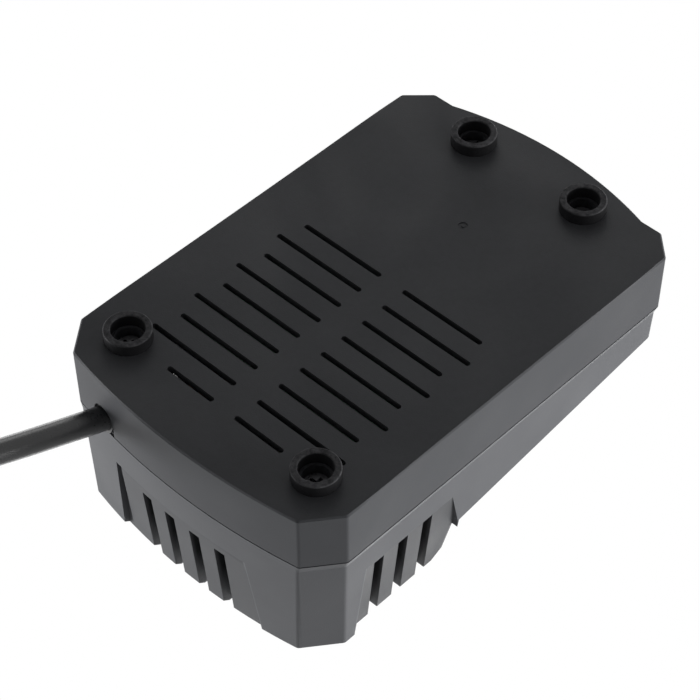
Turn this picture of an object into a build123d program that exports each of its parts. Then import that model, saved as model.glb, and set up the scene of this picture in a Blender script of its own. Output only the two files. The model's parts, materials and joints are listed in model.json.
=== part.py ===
"""Slide-in charger for cordless power tool packs, upright with its feet on z = 0.

Millimetres. +Z is up, X runs across the width, the pack slides in from the front at -Y,
and the tall block with the fan and the mains cord is at the rear, +Y. The origin is on
the floor, at the middle of the charger's own outline (the cord doesn't count).
"""

from build123d import *
from math import atan, cos, pi, radians, sin, tan
import os

os.makedirs("parts", exist_ok=True)

# Outline, seen from above: straight sides, cut corners, bowed front and rear
BODY_W = 105.0
BODY_L = 161.7
FRONT_BOW = 5.9
REAR_BOW = 4.4
FRONT_CUT = (7.6, 7.3)
REAR_CUT = (8.3, 10.6)
BOW_HALF = 37.5
CORNER_R = 1.6

# Heights: feet, cover wall up to the seam, and the rest counted up from the seam
FOOT_H = 4.0
COVER_H = 19.9
SEAM_GAP = 0.4
LIP_H = 2.7
BLOCK_EDGE_H = 39.3
BEVEL_RISE = 3.4
BEVEL_RUN = 4.2

# Walls and drafts (how far each wall stands in from the outline at the named height)
WALL = 2.2
FLOOR = 2.4
TOP_WALL = 2.4
NECK_IN = 0.9
SEAM_IN = 0.25
LIP_IN = 1.0
EDGE_IN = 2.4
REAR_EDGE_IN = 1.0
BASE_BEVEL = 0.5
TONGUE_GAP = 0.15
TONGUE_T = 1.2
TONGUE_H = 2.4
FIT = 0.1

# Deck and block: the deck rises to the foot of the block's leaning front face
BLOCK_L = 62.85
DECK_TILT = 8.2
DECK_END_H = 25.6
BLOCK_LEAN = 11.5
CRADLE_HALF = 33.0
CRADLE_D = 4.0
LATCH_POCKET = (18.0, 8.0, 3.0)
LATCH_FROM_FRONT = 20.0

# Recessed panels and vents: heights from the seam, side places counted from the rear end
PANEL_LOW_H = 11.6
SIDE_PANEL_SLOPE = 0.161
SIDE_PANEL_REAR = (23.65, 19.25)
SIDE_PANEL_FRONT = (4.0, 0.6)
REAR_PANEL_IN = 2.9
REAR_PANEL_LEFT = -27.1
REAR_PANEL_RIGHT = (25.0, 30.5)
REAR_GROOVE = (2.4, 2.6)
VENT_W = 3.9
REAR_VENT_X = (-13.45, -3.8, 6.15, 15.8)
REAR_VENT_H = 14.5
SIDE_VENT_FROM_REAR = (28.75, 38.55, 48.55)
SIDE_VENT_H = 12.1
SIDE_VENT_LEAN = 0.085
REAR_LOUVRE_D = 4.2
SIDE_LOUVRE_D = 2.9
LOUVRE_MARGIN = 3.0

# Slots in the bottom
SLOT_W = 1.75
SLOT_ROW_FROM_REAR = 85.85
SLOT_PITCH = 8.36
SLOT_ROWS = 8
SLOT_INNER = (-2.4, 6.25)
SLOT_OUTER_SHORT = (-33.0, 36.5)
SLOT_OUTER_LONG = (-36.1, 39.5)
SLOT_LAST_ROW = ((-20.8, -2.6), (5.9, 24.3))

# Gate mark in the cover's middle
GATE_AT = (0.75, -37.0)
GATE_R = (1.5, 0.55)
GATE_D = 0.25

# Feet and case screws: how far each foot stands in from the side and the end
FOOT_REAR_IN = (15.6, 18.95)
FOOT_FRONT_IN = (30.9, 14.05)
FOOT_D = 14.2
FOOT_BORE_D = 10.0
FOOT_EDGE_R = 0.4
FOOT_SEAT = 1.2
WELL_R = 4.2
WELL_D = 5.0
COVER_BOSS_R = 5.25
COVER_BOSS_H = 10.0
CASE_BOSS_R = 4.0
CASE_SCREW_R = 1.45
CASE_SCREW_CLEAR = 0.45
CASE_SCREW_L = 17.0
CASE_HEAD = (3.6, 2.4)

# Main board: its posts, and how far its edges stand in from the side, front and rear
POST_H = 5.6
BOARD_T = 1.6
BOARD_IN = (6.0, 24.85, 32.85)
POST_R = 3.2
POST_IN = (3.0, 4.75)
BOARD_SCREW_R = 1.1
BOARD_SCREW_HEAD = (2.6, 1.8)
BOARD_SCREW_L = 7.0

# Fan
FAN_SIZE = 40.0
FAN_T = 10.0
FAN_X = 1.2
FAN_FROM_REAR = 22.85
FAN_BORE_R = 18.8
FAN_TIP_GAP = 0.6
FAN_BLADES = 7
FAN_HUB_R = 10.5
FAN_HUB_WALL = 1.2
FAN_SHAFT_R = 1.0
FAN_SHAFT_FIT = 0.03
FAN_STATOR_R = 8.4
FAN_STATOR_GAP = 1.0
FAN_BLADE = (6.0, 1.2)
FAN_BLADE_TILT = 38.0
FAN_PLATE = (1.5, 1.2)
FAN_HOLE = (1.6, 16.0)
FAN_END_GAP = 0.6
HUB_FACE = 1.4
GUIDE_T = 3.0
GUIDE_LIP = 1.5
GUIDE_LIP_T = 2.0
GUIDE_DROP = 34.0
FAN_POST = (5.0, 8.0)

# Status light
LENS = (24.0, 7.0)
LENS_FROM_FOOT = 15.0
LENS_FLANGE = (1.5, 1.2)
LED_BOARD = (42.0, 10.0, 1.2)
LED_R = 1.5
LED_H = 4.2
LED_X = (-7.0, 0.0, 7.0)
LED_POST_X = 17.0
LED_POST_R = 2.5
LED_POST_GAP = 0.2
LED_SCREW_HEAD = (2.2, 1.6)
LED_SCREW_L = 4.6

# Dock
RAIL_T = 4.0
RAIL_LIP = 3.5
RAIL_TOP = 4.5
RAIL_LIP_T = 2.3
RAIL_ENDS = (16.0, 2.0)
RAIL_SCREW_IN = (22.0, 12.0)
RAIL_SCREW_R = 1.2
RAIL_SCREW_HEAD = (2.2, 1.8)
RAIL_SCREW_L = 8.0
RAIL_SCREW_CLEAR = 0.2
TERMINAL_HALF = 17.0
TERMINAL_Y = (-23.0, -4.0)
TERMINAL_TOP = 1.5
TERMINAL_CHEEK = 8.5
TERMINAL_WALL = 2.0
TERMINAL_FLANGE = (4.5, 1.6)
STAKE_R = 1.2
BLADE_T = 0.8
BLADE_RISE = 7.0
BLADE_NOSE = 2.5
BLADE_TAIL = 6.0
BLADE_TAIL_W = 3.0
POWER_BLADE_X = (-12.5, 12.5)
POWER_BLADE_L = 13.0
SIGNAL_BLADE_X = (-5.5, 0.0, 5.5)
SIGNAL_BLADE_L = 9.0

# Cord: where it crosses the rear wall (from the side, and below the seam) and its direction
CORD_D = 7.6
EXIT_FROM_SIDE = 21.6
EXIT_BELOW_SEAM = 4.3
EXIT_TURN = 13.0
EXIT_DROOP = 8.5
BUSHING_WALL = 0.8
BUSHING_FLANGE = (5.8, 2.0)
BUSHING_OUT = 0.5
CLAMP_BACK = 8.0
CLAMP = (21.6, 5.4, 5.2)
CLAMP_POST_X = 8.2
CLAMP_SPLIT = 1.6
CLAMP_SCREW_R = 1.1
CLAMP_SCREW_HEAD = (2.4, 1.8)
CLAMP_SCREW_L = 9.0
CORD_STUB = 13.0
COIL_CENTRE = (0.0, 240.0)
COIL_ROWS = 3
COIL_LAYERS = 2
COIL_MID_R = 39.0
TIE_W = 12.0
TIE_T = 0.6

# Plug on the end of the cord
PLUG_W = 36.0
PLUG_H = 26.0
PLUG_L = 32.0
PLUG_BOOT_L = 16.0
PLUG_FROM_COIL = (34.0, 5.0)
LEAD_CLIMB = (11.6, 15.2, 19.2, 20.8, 22.0, 23.4, 25.0)
LEAD_STEP = 30
PLUG_SEAT_GAP = 0.3
PLUG_CORNER_R = 9.0
PLUG_SHOULDER_L = 9.0
PLUG_NECK = (20.0, 16.0)
PLUG_NECK_CORNER_R = 7.0
PLUG_BOOT_R = (7.6, 5.4)
PIN_D = 4.8
PIN_NECK_D = 4.4
PIN_NECK_L = 7.0
PIN_ROOT_D = 3.6
PIN_ROOT_L = 10.0
PIN_L = 19.0
PIN_SPACING = 19.0

# Parts on the main board: x, y from the block's foot, then size with the height last.
# Parts near an edge of the board have x counted in from its left or right edge.
TRANSFORMER_AT = (10.0, 17.0)
CORE = (34.0, 26.0, 28.0)
CORE_LEG = 6.0
CORE_BAR = 5.5
CORE_POST_R = 5.0
INPUT_CAP_LEFT = (15.5, 22.0, 9.0, 32.0)
OUTPUT_CAPS_RIGHT = ((20.9, -15.0, 6.25, 20.0), (8.0, -15.0, 6.25, 20.0))
FILM_CAP_LEFT = (10.5, -44.0, 18.0, 9.0, 15.0)
CHOKE_LEFT = (15.5, -6.0, 12.0, 6.0, 12.0)
CHOKE_SKIN = 1.2
CHOKE_SPLIT = 6.0
BRIDGE = (-2.0, -7.0, 20.0, 4.0, 14.0)
FUSE_LEFT = (15.5, -27.0, 2.6, 20.0)
FUSE_LIFT = 1.2
FUSE_CLIP = 4.0
PRIMARY_SINK = (2.0, -35.0, 32.0, 3.0, 20.0)
SECONDARY_SINK_RIGHT = (7.5, 11.0, 3.0, 24.0, 26.0)
SINK_FIN_COUNT = 5
SINK_FIN_T = 1.2
POWER_CASE = (10.0, 4.6, 15.0)
POWER_LEGS = (3.0, 2.5, 0.8)
CAN_CRIMP = (2.0, 1.2, 0.5)
LED_HEADER = (-9.7, 4.0, 4.5, 7.0, 6.0)
FAN_HEADER_RIGHT = (10.5, 27.3, 7.0, 4.5, 6.0)
CHIPS = ((2.0, -54.0, 9.0, 9.0, 1.8), (22.0, -58.0, 5.0, 6.0, 1.6), (-20.0, -56.0, 7.0, 5.0, 1.8))
MAINS_PADS_LEFT = ((27.5, 27.5), (32.0, 27.5))
OUTPUT_PAD_Y = -25.0

# Leads: sheath diameters
MAINS_LEAD_D = 2.2
OUTPUT_LEAD_D = 2.6
LED_LEAD_D = 1.0
FAN_LEAD_D = 1.2

# Worked out from the above
REAR_Y = BODY_L / 2
FRONT_Y = -BODY_L / 2
SEAM_Z = FOOT_H + COVER_H
LIP_Z = SEAM_Z + LIP_H
BLOCK_EDGE_Z = SEAM_Z + BLOCK_EDGE_H
TOP_Z = BLOCK_EDGE_Z + BEVEL_RISE
CEILING_Z = TOP_Z - TOP_WALL
FLOOR_Z = FOOT_H + FLOOR
WELL_TOP = FOOT_H + WELL_D
BOSS_JOINT_Z = FOOT_H + COVER_BOSS_H
DECK_END_Y = REAR_Y - BLOCK_L
DECK_END_Z = SEAM_Z + DECK_END_H
PANEL_LOW_Z = SEAM_Z + PANEL_LOW_H
SIDE_VENT_Y = [REAR_Y - inward for inward in SIDE_VENT_FROM_REAR]
SIDE_VENT_Z = SEAM_Z + SIDE_VENT_H
REAR_VENT_Z = SEAM_Z + REAR_VENT_H
BOARD_Z = FLOOR_Z + POST_H
BOARD_TOP = BOARD_Z + BOARD_T
BOARD_HALF = BODY_W / 2 - BOARD_IN[0]
BOARD_Y = (FRONT_Y + BOARD_IN[1], REAR_Y - BOARD_IN[2])
OUTPUT_CAPS = [(BOARD_HALF - inward, *rest) for inward, *rest in OUTPUT_CAPS_RIGHT]
INPUT_CAP = (INPUT_CAP_LEFT[0] - BOARD_HALF, *INPUT_CAP_LEFT[1:])
FILM_CAP = (FILM_CAP_LEFT[0] - BOARD_HALF, *FILM_CAP_LEFT[1:])
CHOKE = (CHOKE_LEFT[0] - BOARD_HALF, *CHOKE_LEFT[1:])
FUSE = (FUSE_LEFT[0] - BOARD_HALF, *FUSE_LEFT[1:])
SECONDARY_SINK = (BOARD_HALF - SECONDARY_SINK_RIGHT[0], *SECONDARY_SINK_RIGHT[1:])
FAN_HEADER = (BOARD_HALF - FAN_HEADER_RIGHT[0], *FAN_HEADER_RIGHT[1:])
MAINS_PADS = [(inward - BOARD_HALF, y) for inward, y in MAINS_PADS_LEFT]
CRADLE_FLOOR = -CRADLE_D
CRADLE_UNDER = -CRADLE_D - WALL
DECK_FRONT = -(DECK_END_Y - FRONT_Y) / cos(radians(DECK_TILT))
LATCH_Y = DECK_FRONT + LATCH_FROM_FRONT
RAIL_Y = (DECK_FRONT + RAIL_ENDS[0], -RAIL_ENDS[1])
LENS_Y = DECK_END_Y + LENS_FROM_FOOT
FAN_Y = REAR_Y - FAN_FROM_REAR
FAN_REAR = FAN_Y + FAN_T
FAN_Z = CEILING_Z - FAN_SIZE / 2
HUB_FRONT = FAN_Y + FAN_END_GAP
HUB_BACK = FAN_REAR - FAN_PLATE[0] - FAN_END_GAP
EXIT_X = EXIT_FROM_SIDE - BODY_W / 2
REAR_CHORD = BODY_W / 2 - REAR_CUT[0]
REAR_RADIUS = (REAR_CHORD**2 + REAR_BOW**2) / (2 * REAR_BOW)
EXIT_Y = REAR_Y - REAR_RADIUS + (REAR_RADIUS**2 - EXIT_X**2) ** 0.5
EXIT = (EXIT_X, EXIT_Y, SEAM_Z - EXIT_BELOW_SEAM)
REACH = 120.0


def block(x0, x1, y0, y1, z0, z1):
    """Box between two corners."""
    corner = Pos(min(x0, x1), min(y0, y1), min(z0, z1))
    return corner * Box(abs(x1 - x0), abs(y1 - y0), abs(z1 - z0), align=(Align.MIN,) * 3)


def rod(radius, x, y, z0, z1):
    """Upright cylinder between two heights."""
    return Pos(x, y, z0) * Cylinder(radius, z1 - z0, align=(Align.CENTER, Align.CENTER, Align.MIN))


def rod_y(radius, x, z, y0, y1):
    """Cylinder along Y."""
    along = Location((x, y0, z), (-90, 0, 0))
    return along * Cylinder(radius, y1 - y0, align=(Align.CENTER, Align.CENTER, Align.MIN))


def prism_x(points, x0, x1):
    """Solid with an outline of (y, z) points between two x."""
    face = make_face(Polyline(*[(x0, y, z) for y, z in points], close=True))
    return extrude(face, amount=x1 - x0, dir=(1, 0, 0))


def prism_y(points, y0, y1):
    """Solid with an outline of (x, z) points between two y."""
    face = make_face(Polyline(*[(x, y0, z) for x, z in points], close=True))
    return extrude(face, amount=y1 - y0, dir=(0, 1, 0))


def both_sides(shape):
    """The shape and its mirror image across the middle plane x = 0."""
    return [shape, mirror(shape, about=Plane.YZ)]


def solids_of(shapes):
    """The solids of one shape or of a list of shapes."""
    shapes = shapes if isinstance(shapes, (list, tuple)) else [shapes]
    return [solid for shape in shapes for solid in shape.solids()]


def save(name, shapes):
    """Writes one sub-part, as one solid or as a group of solids."""
    solids = solids_of(shapes)
    export_step(solids[0] if len(solids) == 1 else Compound(solids), f"parts/{name}.step")


def outline(z, side=0.0, rear=0.0, front=0.0):
    """Face of the body's outline at a height, with each wall stood in."""
    half = BODY_W / 2 - side
    back = BODY_L / 2 - REAR_BOW - rear
    nose = -BODY_L / 2 + FRONT_BOW + front
    right = [
        (BOW_HALF, nose),
        (half - FRONT_CUT[0], nose),
        (half, nose + FRONT_CUT[1]),
        (half, back - REAR_CUT[1]),
        (half - REAR_CUT[0], back),
    ]
    left = [(-x, y) for x, y in reversed(right)]
    edges = [ThreePointArc(left[-1], (0, nose - FRONT_BOW), right[0])]
    edges += [Line(a, b) for a, b in zip(right, right[1:])]
    edges += [ThreePointArc(right[-1], (0, back + REAR_BOW), left[0])]
    edges += [Line(a, b) for a, b in zip(left, left[1:])]
    face = Face(Wire(edges))
    corners = [vertex for vertex in face.vertices() if abs(vertex.X) > BOW_HALF + 1]
    return Pos(0, 0, z) * fillet(corners, CORNER_R)


def stack(*sections):
    """Solid through outlines, straight from each to the next."""
    return loft(list(sections), ruled=True)


def side_in(z):
    """How far the block's unrecessed side wall stands in at a height."""
    share = (z - LIP_Z) / (BLOCK_EDGE_Z - LIP_Z)
    return LIP_IN + share * (EDGE_IN - LIP_IN)


def side_panel_x(z):
    """X of the recessed side panel's face at a height."""
    flush = BODY_W / 2 - side_in(PANEL_LOW_Z)
    return flush - SIDE_PANEL_SLOPE * (z - PANEL_LOW_Z)


def rear_panel_in(z):
    """How far the recessed rear panel stands in from the outline at a height."""
    share = (PANEL_LOW_Z - LIP_Z) / (BLOCK_EDGE_Z - LIP_Z)
    flush = SEAM_IN + share * (REAR_EDGE_IN - SEAM_IN)
    return flush + (REAR_PANEL_IN - flush) * (z - PANEL_LOW_Z) / (BLOCK_EDGE_Z - PANEL_LOW_Z)


def step_profile(deck_drop, face_back):
    """(y, z) outline of the space above the deck and before the block, moved into the wall."""
    rise = tan(radians(DECK_TILT))
    lean = tan(radians(BLOCK_LEAN))
    bevel = atan(BEVEL_RISE / BEVEL_RUN)
    drop = deck_drop / cos(radians(DECK_TILT))
    back = face_back / cos(radians(BLOCK_LEAN))
    foot_z = DECK_END_Z + (back * rise - drop) / (1 - rise * lean)
    foot_y = DECK_END_Y + back + lean * (foot_z - DECK_END_Z)
    edge_z = BLOCK_EDGE_Z - face_back * (1 / sin(bevel) - 1) * tan(bevel)
    edge_y = DECK_END_Y + back + lean * (edge_z - DECK_END_Z)
    over = 2 * BEVEL_RISE
    return [
        (-REACH, foot_z - rise * (REACH + foot_y)),
        (foot_y, foot_z),
        (edge_y, edge_z),
        (edge_y + over * BEVEL_RUN / BEVEL_RISE, edge_z + over),
        (-REACH, edge_z + over),
    ]


DECK_UP = (0, -sin(radians(DECK_TILT)), cos(radians(DECK_TILT)))
ON_DECK = Plane((0, DECK_END_Y, DECK_END_Z), x_dir=(1, 0, 0), z_dir=DECK_UP).location
CORD_DIR = Vector(
    -sin(radians(EXIT_TURN)) * cos(radians(EXIT_DROOP)),
    cos(radians(EXIT_TURN)) * cos(radians(EXIT_DROOP)),
    -sin(radians(EXIT_DROOP)),
)
CORD_SIDE = (cos(radians(EXIT_TURN)), sin(radians(EXIT_TURN)), 0)
ON_CORD = Plane(Vector(*EXIT), x_dir=CORD_SIDE, z_dir=CORD_DIR).location
FOOT_REAR = (BODY_W / 2 - FOOT_REAR_IN[0], REAR_Y - FOOT_REAR_IN[1])
FOOT_FRONT = (BODY_W / 2 - FOOT_FRONT_IN[0], FRONT_Y + FOOT_FRONT_IN[1])
FEET = [(sx * x, y) for x, y in (FOOT_REAR, FOOT_FRONT) for sx in (-1, 1)]
POST_Y = (BOARD_Y[0] + POST_IN[1], BOARD_Y[1] - POST_IN[1])
BOARD_POSTS = [(sx * (BOARD_HALF - POST_IN[0]), y) for y in POST_Y for sx in (-1, 1)]


def along_cord(radius, s0, s1):
    """Cylinder round the cord's line, between two distances from its exit."""
    place = ON_CORD * Pos(0, 0, s0)
    return place * Cylinder(radius, s1 - s0, align=(Align.CENTER, Align.CENTER, Align.MIN))


def cross_recess(x, y, z, width, depth, up):
    """Cross-head driver recess cut into a screw head at a height, to be taken out."""
    z1 = z + depth if up else z - depth
    bars = [(width, width / 4), (width / 4, width)]
    return [block(x - a / 2, x + a / 2, y - b / 2, y + b / 2, z, z1) for a, b in bars]


def screw(x, y, seat, head, radius, length, up):
    """Cross-head screw whose head lies on a seat, its shank running up or down from it."""
    head_r, head_h = head
    way = 1 if up else -1
    low, high = sorted((seat, seat - way * head_h))
    body = rod(head_r, x, y, low, high)
    low, high = sorted((seat, seat + way * length))
    body += rod(radius, x, y, low, high)
    face = seat - way * head_h
    return body - cross_recess(x, y, face, 1.25 * head_r, 0.6 * head_h, up)


def bottom_slots():
    """Cutters of the two banks of slots, rows long and short by turns."""
    rows = []
    first = REAR_Y - SLOT_ROW_FROM_REAR
    for row in range(SLOT_ROWS):
        outer = SLOT_OUTER_LONG if row % 2 else SLOT_OUTER_SHORT
        y = first + row * SLOT_PITCH
        rows += [(outer[0], SLOT_INNER[0], y), (SLOT_INNER[1], outer[1], y)]
    rows += [(x0, x1, first + SLOT_ROWS * SLOT_PITCH) for x0, x1 in SLOT_LAST_ROW]
    return [
        Pos((x0 + x1) / 2, y, FOOT_H - 1) * extrude(SlotOverall(x1 - x0, SLOT_W), FLOOR + 2)
        for x0, x1, y in rows
    ]


CLAMP_AT = Vector(*EXIT) - CORD_DIR * CLAMP_BACK
ON_CLAMP = Pos(CLAMP_AT.X, CLAMP_AT.Y, 0) * Rot(0, 0, EXIT_TURN)
SADDLE_Z = CLAMP_AT.Z + CLAMP_SPLIT


def bottom_cover():
    """Flat cover with its walls, slots, screw wells and the posts that carry what is inside."""
    wall_in = WALL + SEAM_IN
    body = stack(outline(FOOT_H, 0, 0, 0), outline(SEAM_Z, SEAM_IN, SEAM_IN, SEAM_IN))
    low_edges = body.edges().filter_by_position(Axis.Z, FOOT_H - 0.01, FOOT_H + 0.01)
    body = chamfer(low_edges, BASE_BEVEL)
    body -= extrude(outline(FLOOR_Z, wall_in, wall_in, wall_in), COVER_H)
    tongue_in = wall_in + TONGUE_GAP
    inner_in = tongue_in + TONGUE_T
    lip = extrude(outline(SEAM_Z, tongue_in, tongue_in, tongue_in), TONGUE_H)
    root = extrude(outline(SEAM_Z, wall_in, wall_in, wall_in), -2 * TONGUE_H)
    body += (lip + root) - extrude(outline(SEAM_Z - REACH, inner_in, inner_in, inner_in), 2 * REACH)
    body += [rod(COVER_BOSS_R, x, y, FLOOR_Z, BOSS_JOINT_Z) for x, y in FEET]
    body += [rod(POST_R, x, y, FLOOR_Z, BOARD_Z) for x, y in BOARD_POSTS]
    body += fan_post()
    body += cord_saddle()
    cuts = bottom_slots()
    x, y = GATE_AT
    cuts.append(rod(GATE_R[0], x, y, FOOT_H, FOOT_H + GATE_D) - rod(GATE_R[1], x, y, FOOT_H, FOOT_H + GATE_D))
    for x, y in FEET:
        ring = rod(FOOT_D / 2, x, y, FOOT_H, FOOT_H + FOOT_SEAT)
        cuts.append(ring - rod(FOOT_BORE_D / 2, x, y, FOOT_H, FOOT_H + FOOT_SEAT))
        cuts.append(rod(WELL_R, x, y, 0, WELL_TOP))
        cuts.append(rod(CASE_SCREW_R + CASE_SCREW_CLEAR, x, y, WELL_TOP, BOSS_JOINT_Z))
    cuts += [rod(BOARD_SCREW_R, x, y, BOARD_TOP - BOARD_SCREW_L, BOARD_Z) for x, y in BOARD_POSTS]
    cuts.append(cord_notch(CORD_D / 2 + BUSHING_WALL))
    cuts.append(along_cord(BUSHING_FLANGE[0] + FIT, -CORD_STUB, 0) & inner_space())
    cuts.append(along_cord(CORD_D / 2, -2 * CORD_STUB, 0))
    return body - cuts


def inner_space():
    """Space within the cover's walls near the cord's exit."""
    wall_in = WALL + SEAM_IN
    space = extrude(outline(BOARD_TOP, wall_in, wall_in, wall_in), REACH)
    return space & block(-REACH, REACH, EXIT[1] - WALL - 2.5 - BUSHING_FLANGE[1], REACH, 0, REACH)


def cord_notch(radius):
    """Notch in the rear wall: round below, straight up to the seam."""
    hole = along_cord(radius, -CORD_STUB, 6)
    x, y, z = EXIT
    slot = Pos(x, y, z) * Rot(0, 0, EXIT_TURN) * block(-radius, radius, -CORD_STUB, 6, 0, REACH)
    return (hole + slot) & block(-REACH, REACH, EXIT[1] - WALL - 2, REACH, 0, REACH)


def fan_post():
    """Post between the slots that the fan frame stands on."""
    width, depth = FAN_POST
    x, y = sum(SLOT_INNER) / 2, FAN_Y + FAN_T / 2
    top = CEILING_Z - FAN_SIZE
    return block(x - width / 2, x + width / 2, y - depth / 2, y + depth / 2, FLOOR_Z, top)


def cord_saddle():
    """Rib under the cord with two screw posts, ahead of the rear wall."""
    length, width, _ = CLAMP
    rib = block(-length / 2, length / 2, -width / 2, width / 2, FLOOR_Z, SADDLE_Z)
    low = SADDLE_Z - CLAMP_SCREW_L
    return ON_CLAMP * (rib - [rod(CLAMP_SCREW_R, sx * CLAMP_POST_X, 0, low, SADDLE_Z) for sx in (-1, 1)])


def cord_clamp():
    """Strap that presses the cord into the saddle."""
    length, width, height = CLAMP
    top = SADDLE_Z + height
    strap = block(-length / 2, length / 2, -width / 2, width / 2, SADDLE_Z, top)
    strap -= [rod(CLAMP_SCREW_R, sx * CLAMP_POST_X, 0, SADDLE_Z, top) for sx in (-1, 1)]
    return ON_CLAMP * strap - along_cord(CORD_D / 2, -2 * CORD_STUB, 0)


def clamp_screws():
    seat = SADDLE_Z + CLAMP[2]
    length = CLAMP[2] + CLAMP_SCREW_L - 1
    return [
        ON_CLAMP * screw(sx * CLAMP_POST_X, 0, seat, CLAMP_SCREW_HEAD, CLAMP_SCREW_R, length, False)
        for sx in (-1, 1)
    ]


def housing_outside():
    """The housing's outer form before the panels and vents are cut."""
    form = stack(
        outline(SEAM_Z + SEAM_GAP, SEAM_IN, SEAM_IN, SEAM_IN),
        outline(LIP_Z, LIP_IN, SEAM_IN, LIP_IN),
        outline(BLOCK_EDGE_Z, EDGE_IN, REAR_EDGE_IN, EDGE_IN),
        outline(TOP_Z, EDGE_IN + BEVEL_RUN, REAR_EDGE_IN + BEVEL_RUN, EDGE_IN),
    )
    form += extrude(outline(SEAM_Z, NECK_IN, NECK_IN, NECK_IN), SEAM_GAP)
    form -= prism_x(step_profile(0, 0), -REACH, REACH)
    return form - ON_DECK * block(-CRADLE_HALF, CRADLE_HALF, -REACH, 0, CRADLE_FLOOR, REACH)


def housing_inside():
    """The hollow of the housing."""
    bevel = atan(BEVEL_RISE / BEVEL_RUN)
    shift = WALL * (1 / sin(bevel) - 1)
    edge_z = BLOCK_EDGE_Z - shift * tan(bevel)
    run = (CEILING_Z - edge_z) / tan(bevel)
    mouth = WALL + SEAM_IN
    form = extrude(outline(SEAM_Z - 1, mouth, mouth, mouth), 1 + TONGUE_H + FIT)
    form += stack(
        outline(SEAM_Z + TONGUE_H + FIT, LIP_IN + WALL, REAR_EDGE_IN + WALL, LIP_IN + WALL),
        outline(edge_z, EDGE_IN + WALL, REAR_EDGE_IN + WALL, EDGE_IN + WALL),
        outline(CEILING_Z, EDGE_IN + WALL + run, REAR_EDGE_IN + WALL + run, EDGE_IN + WALL),
    )
    form -= prism_x(step_profile(WALL, WALL), -REACH, REACH)
    half = CRADLE_HALF + WALL
    return form - ON_DECK * block(-half, half, -REACH, WALL, CRADLE_UNDER, REACH)


def side_panel_pads():
    """Wall behind each recessed side panel, deeper round the vents."""
    low, high = PANEL_LOW_Z - 1, TOP_Z
    pads = []
    front = DECK_END_Y + SIDE_PANEL_FRONT[1]
    rear = REAR_Y - SIDE_PANEL_REAR[1] + WALL
    fins = (SIDE_VENT_Y[-1] - VENT_W - LOUVRE_MARGIN, SIDE_VENT_Y[0] + VENT_W)
    for depth, y0, y1 in ((WALL, front, rear), (SIDE_LOUVRE_D, *fins)):
        points = [
            (side_panel_x(low) - depth, low),
            (BODY_W, low),
            (BODY_W, high),
            (side_panel_x(high) - depth, high),
        ]
        pads += both_sides(prism_y(points, y0, y1))
    return pads


def rear_face_y(z):
    """Y of the recessed rear panel's face in the middle plane."""
    return REAR_Y - rear_panel_in(z)


def rear_panel_pad():
    """Wall behind the recessed rear panel."""
    low, high = PANEL_LOW_Z - 1, TOP_Z
    points = [
        (rear_face_y(low) - REAR_LOUVRE_D, low),
        (BODY_L, low),
        (BODY_L, high),
        (rear_face_y(high) - REAR_LOUVRE_D, high),
    ]
    return prism_x(points, REAR_PANEL_LEFT - WALL, REAR_PANEL_RIGHT[1] + WALL)


def side_panel_cut():
    """What the recessed side panel takes away on the right, to be mirrored."""
    high = TOP_Z + 1
    wedge = prism_y(
        [
            (side_panel_x(PANEL_LOW_Z), PANEL_LOW_Z),
            (BODY_W, PANEL_LOW_Z),
            (BODY_W, high),
            (side_panel_x(high), high),
        ],
        -REACH,
        REACH,
    )
    window = prism_x(
        [
            (REAR_Y - SIDE_PANEL_REAR[0], PANEL_LOW_Z),
            (REAR_Y - SIDE_PANEL_REAR[1], high),
            (DECK_END_Y + SIDE_PANEL_FRONT[1], high),
            (DECK_END_Y + SIDE_PANEL_FRONT[1], DECK_END_Z),
            (DECK_END_Y + SIDE_PANEL_FRONT[0], PANEL_LOW_Z),
        ],
        0,
        REACH,
    )
    return wedge & window


def rear_panel_cut():
    """What the recessed rear panel takes away."""
    high = TOP_Z + 1
    window = prism_y(
        [
            (REAR_PANEL_LEFT, PANEL_LOW_Z),
            (REAR_PANEL_RIGHT[0], PANEL_LOW_Z),
            (REAR_PANEL_RIGHT[1], high),
            (REAR_PANEL_LEFT, high),
        ],
        REAR_Y - BLOCK_L / 3,
        BODY_L,
    )
    low = PANEL_LOW_Z
    core = stack(outline(low, 0, rear_panel_in(low), 0), outline(high + 1, 0, rear_panel_in(high + 1), 0))
    groove_w, groove_d = REAR_GROOVE
    groove_in = rear_panel_in(low) + groove_d
    groove = block(REAR_PANEL_LEFT, REAR_PANEL_LEFT + groove_w, REAR_Y - BLOCK_L / 3, BODY_L, low, high)
    behind = stack(outline(low, 0, groove_in, 0), outline(high + 1, 0, groove_in, 0))
    return (window - core) + (groove - behind)


def side_vent_cuts():
    """Side vents, leaning forward as they rise, open over the top edge."""
    high = TOP_Z + 1
    cuts = []
    for y in SIDE_VENT_Y:
        shift = SIDE_VENT_LEAN * (high - SIDE_VENT_Z)
        window = prism_x(
            [
                (y - VENT_W / 2, SIDE_VENT_Z),
                (y + VENT_W / 2, SIDE_VENT_Z),
                (y + VENT_W / 2 - shift, high),
                (y - VENT_W / 2 - shift, high),
            ],
            0,
            REACH,
        )
        depth = SIDE_LOUVRE_D + FIT
        wedge = prism_y(
            [
                (side_panel_x(SIDE_VENT_Z) - depth, SIDE_VENT_Z),
                (BODY_W, SIDE_VENT_Z),
                (BODY_W, high),
                (side_panel_x(high) - depth, high),
            ],
            0,
            REACH,
        )
        cuts += both_sides(window & wedge)
    return cuts


def rear_vent_cuts():
    """Rear vents, upright, open over the top edge."""
    high = TOP_Z + 1
    depth = REAR_LOUVRE_D + FIT
    points = [
        (rear_face_y(REAR_VENT_Z) - depth, REAR_VENT_Z),
        (BODY_L, REAR_VENT_Z),
        (BODY_L, high),
        (rear_face_y(high) - depth, high),
    ]
    return [prism_x(points, x - VENT_W / 2, x + VENT_W / 2) for x in REAR_VENT_X]


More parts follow.
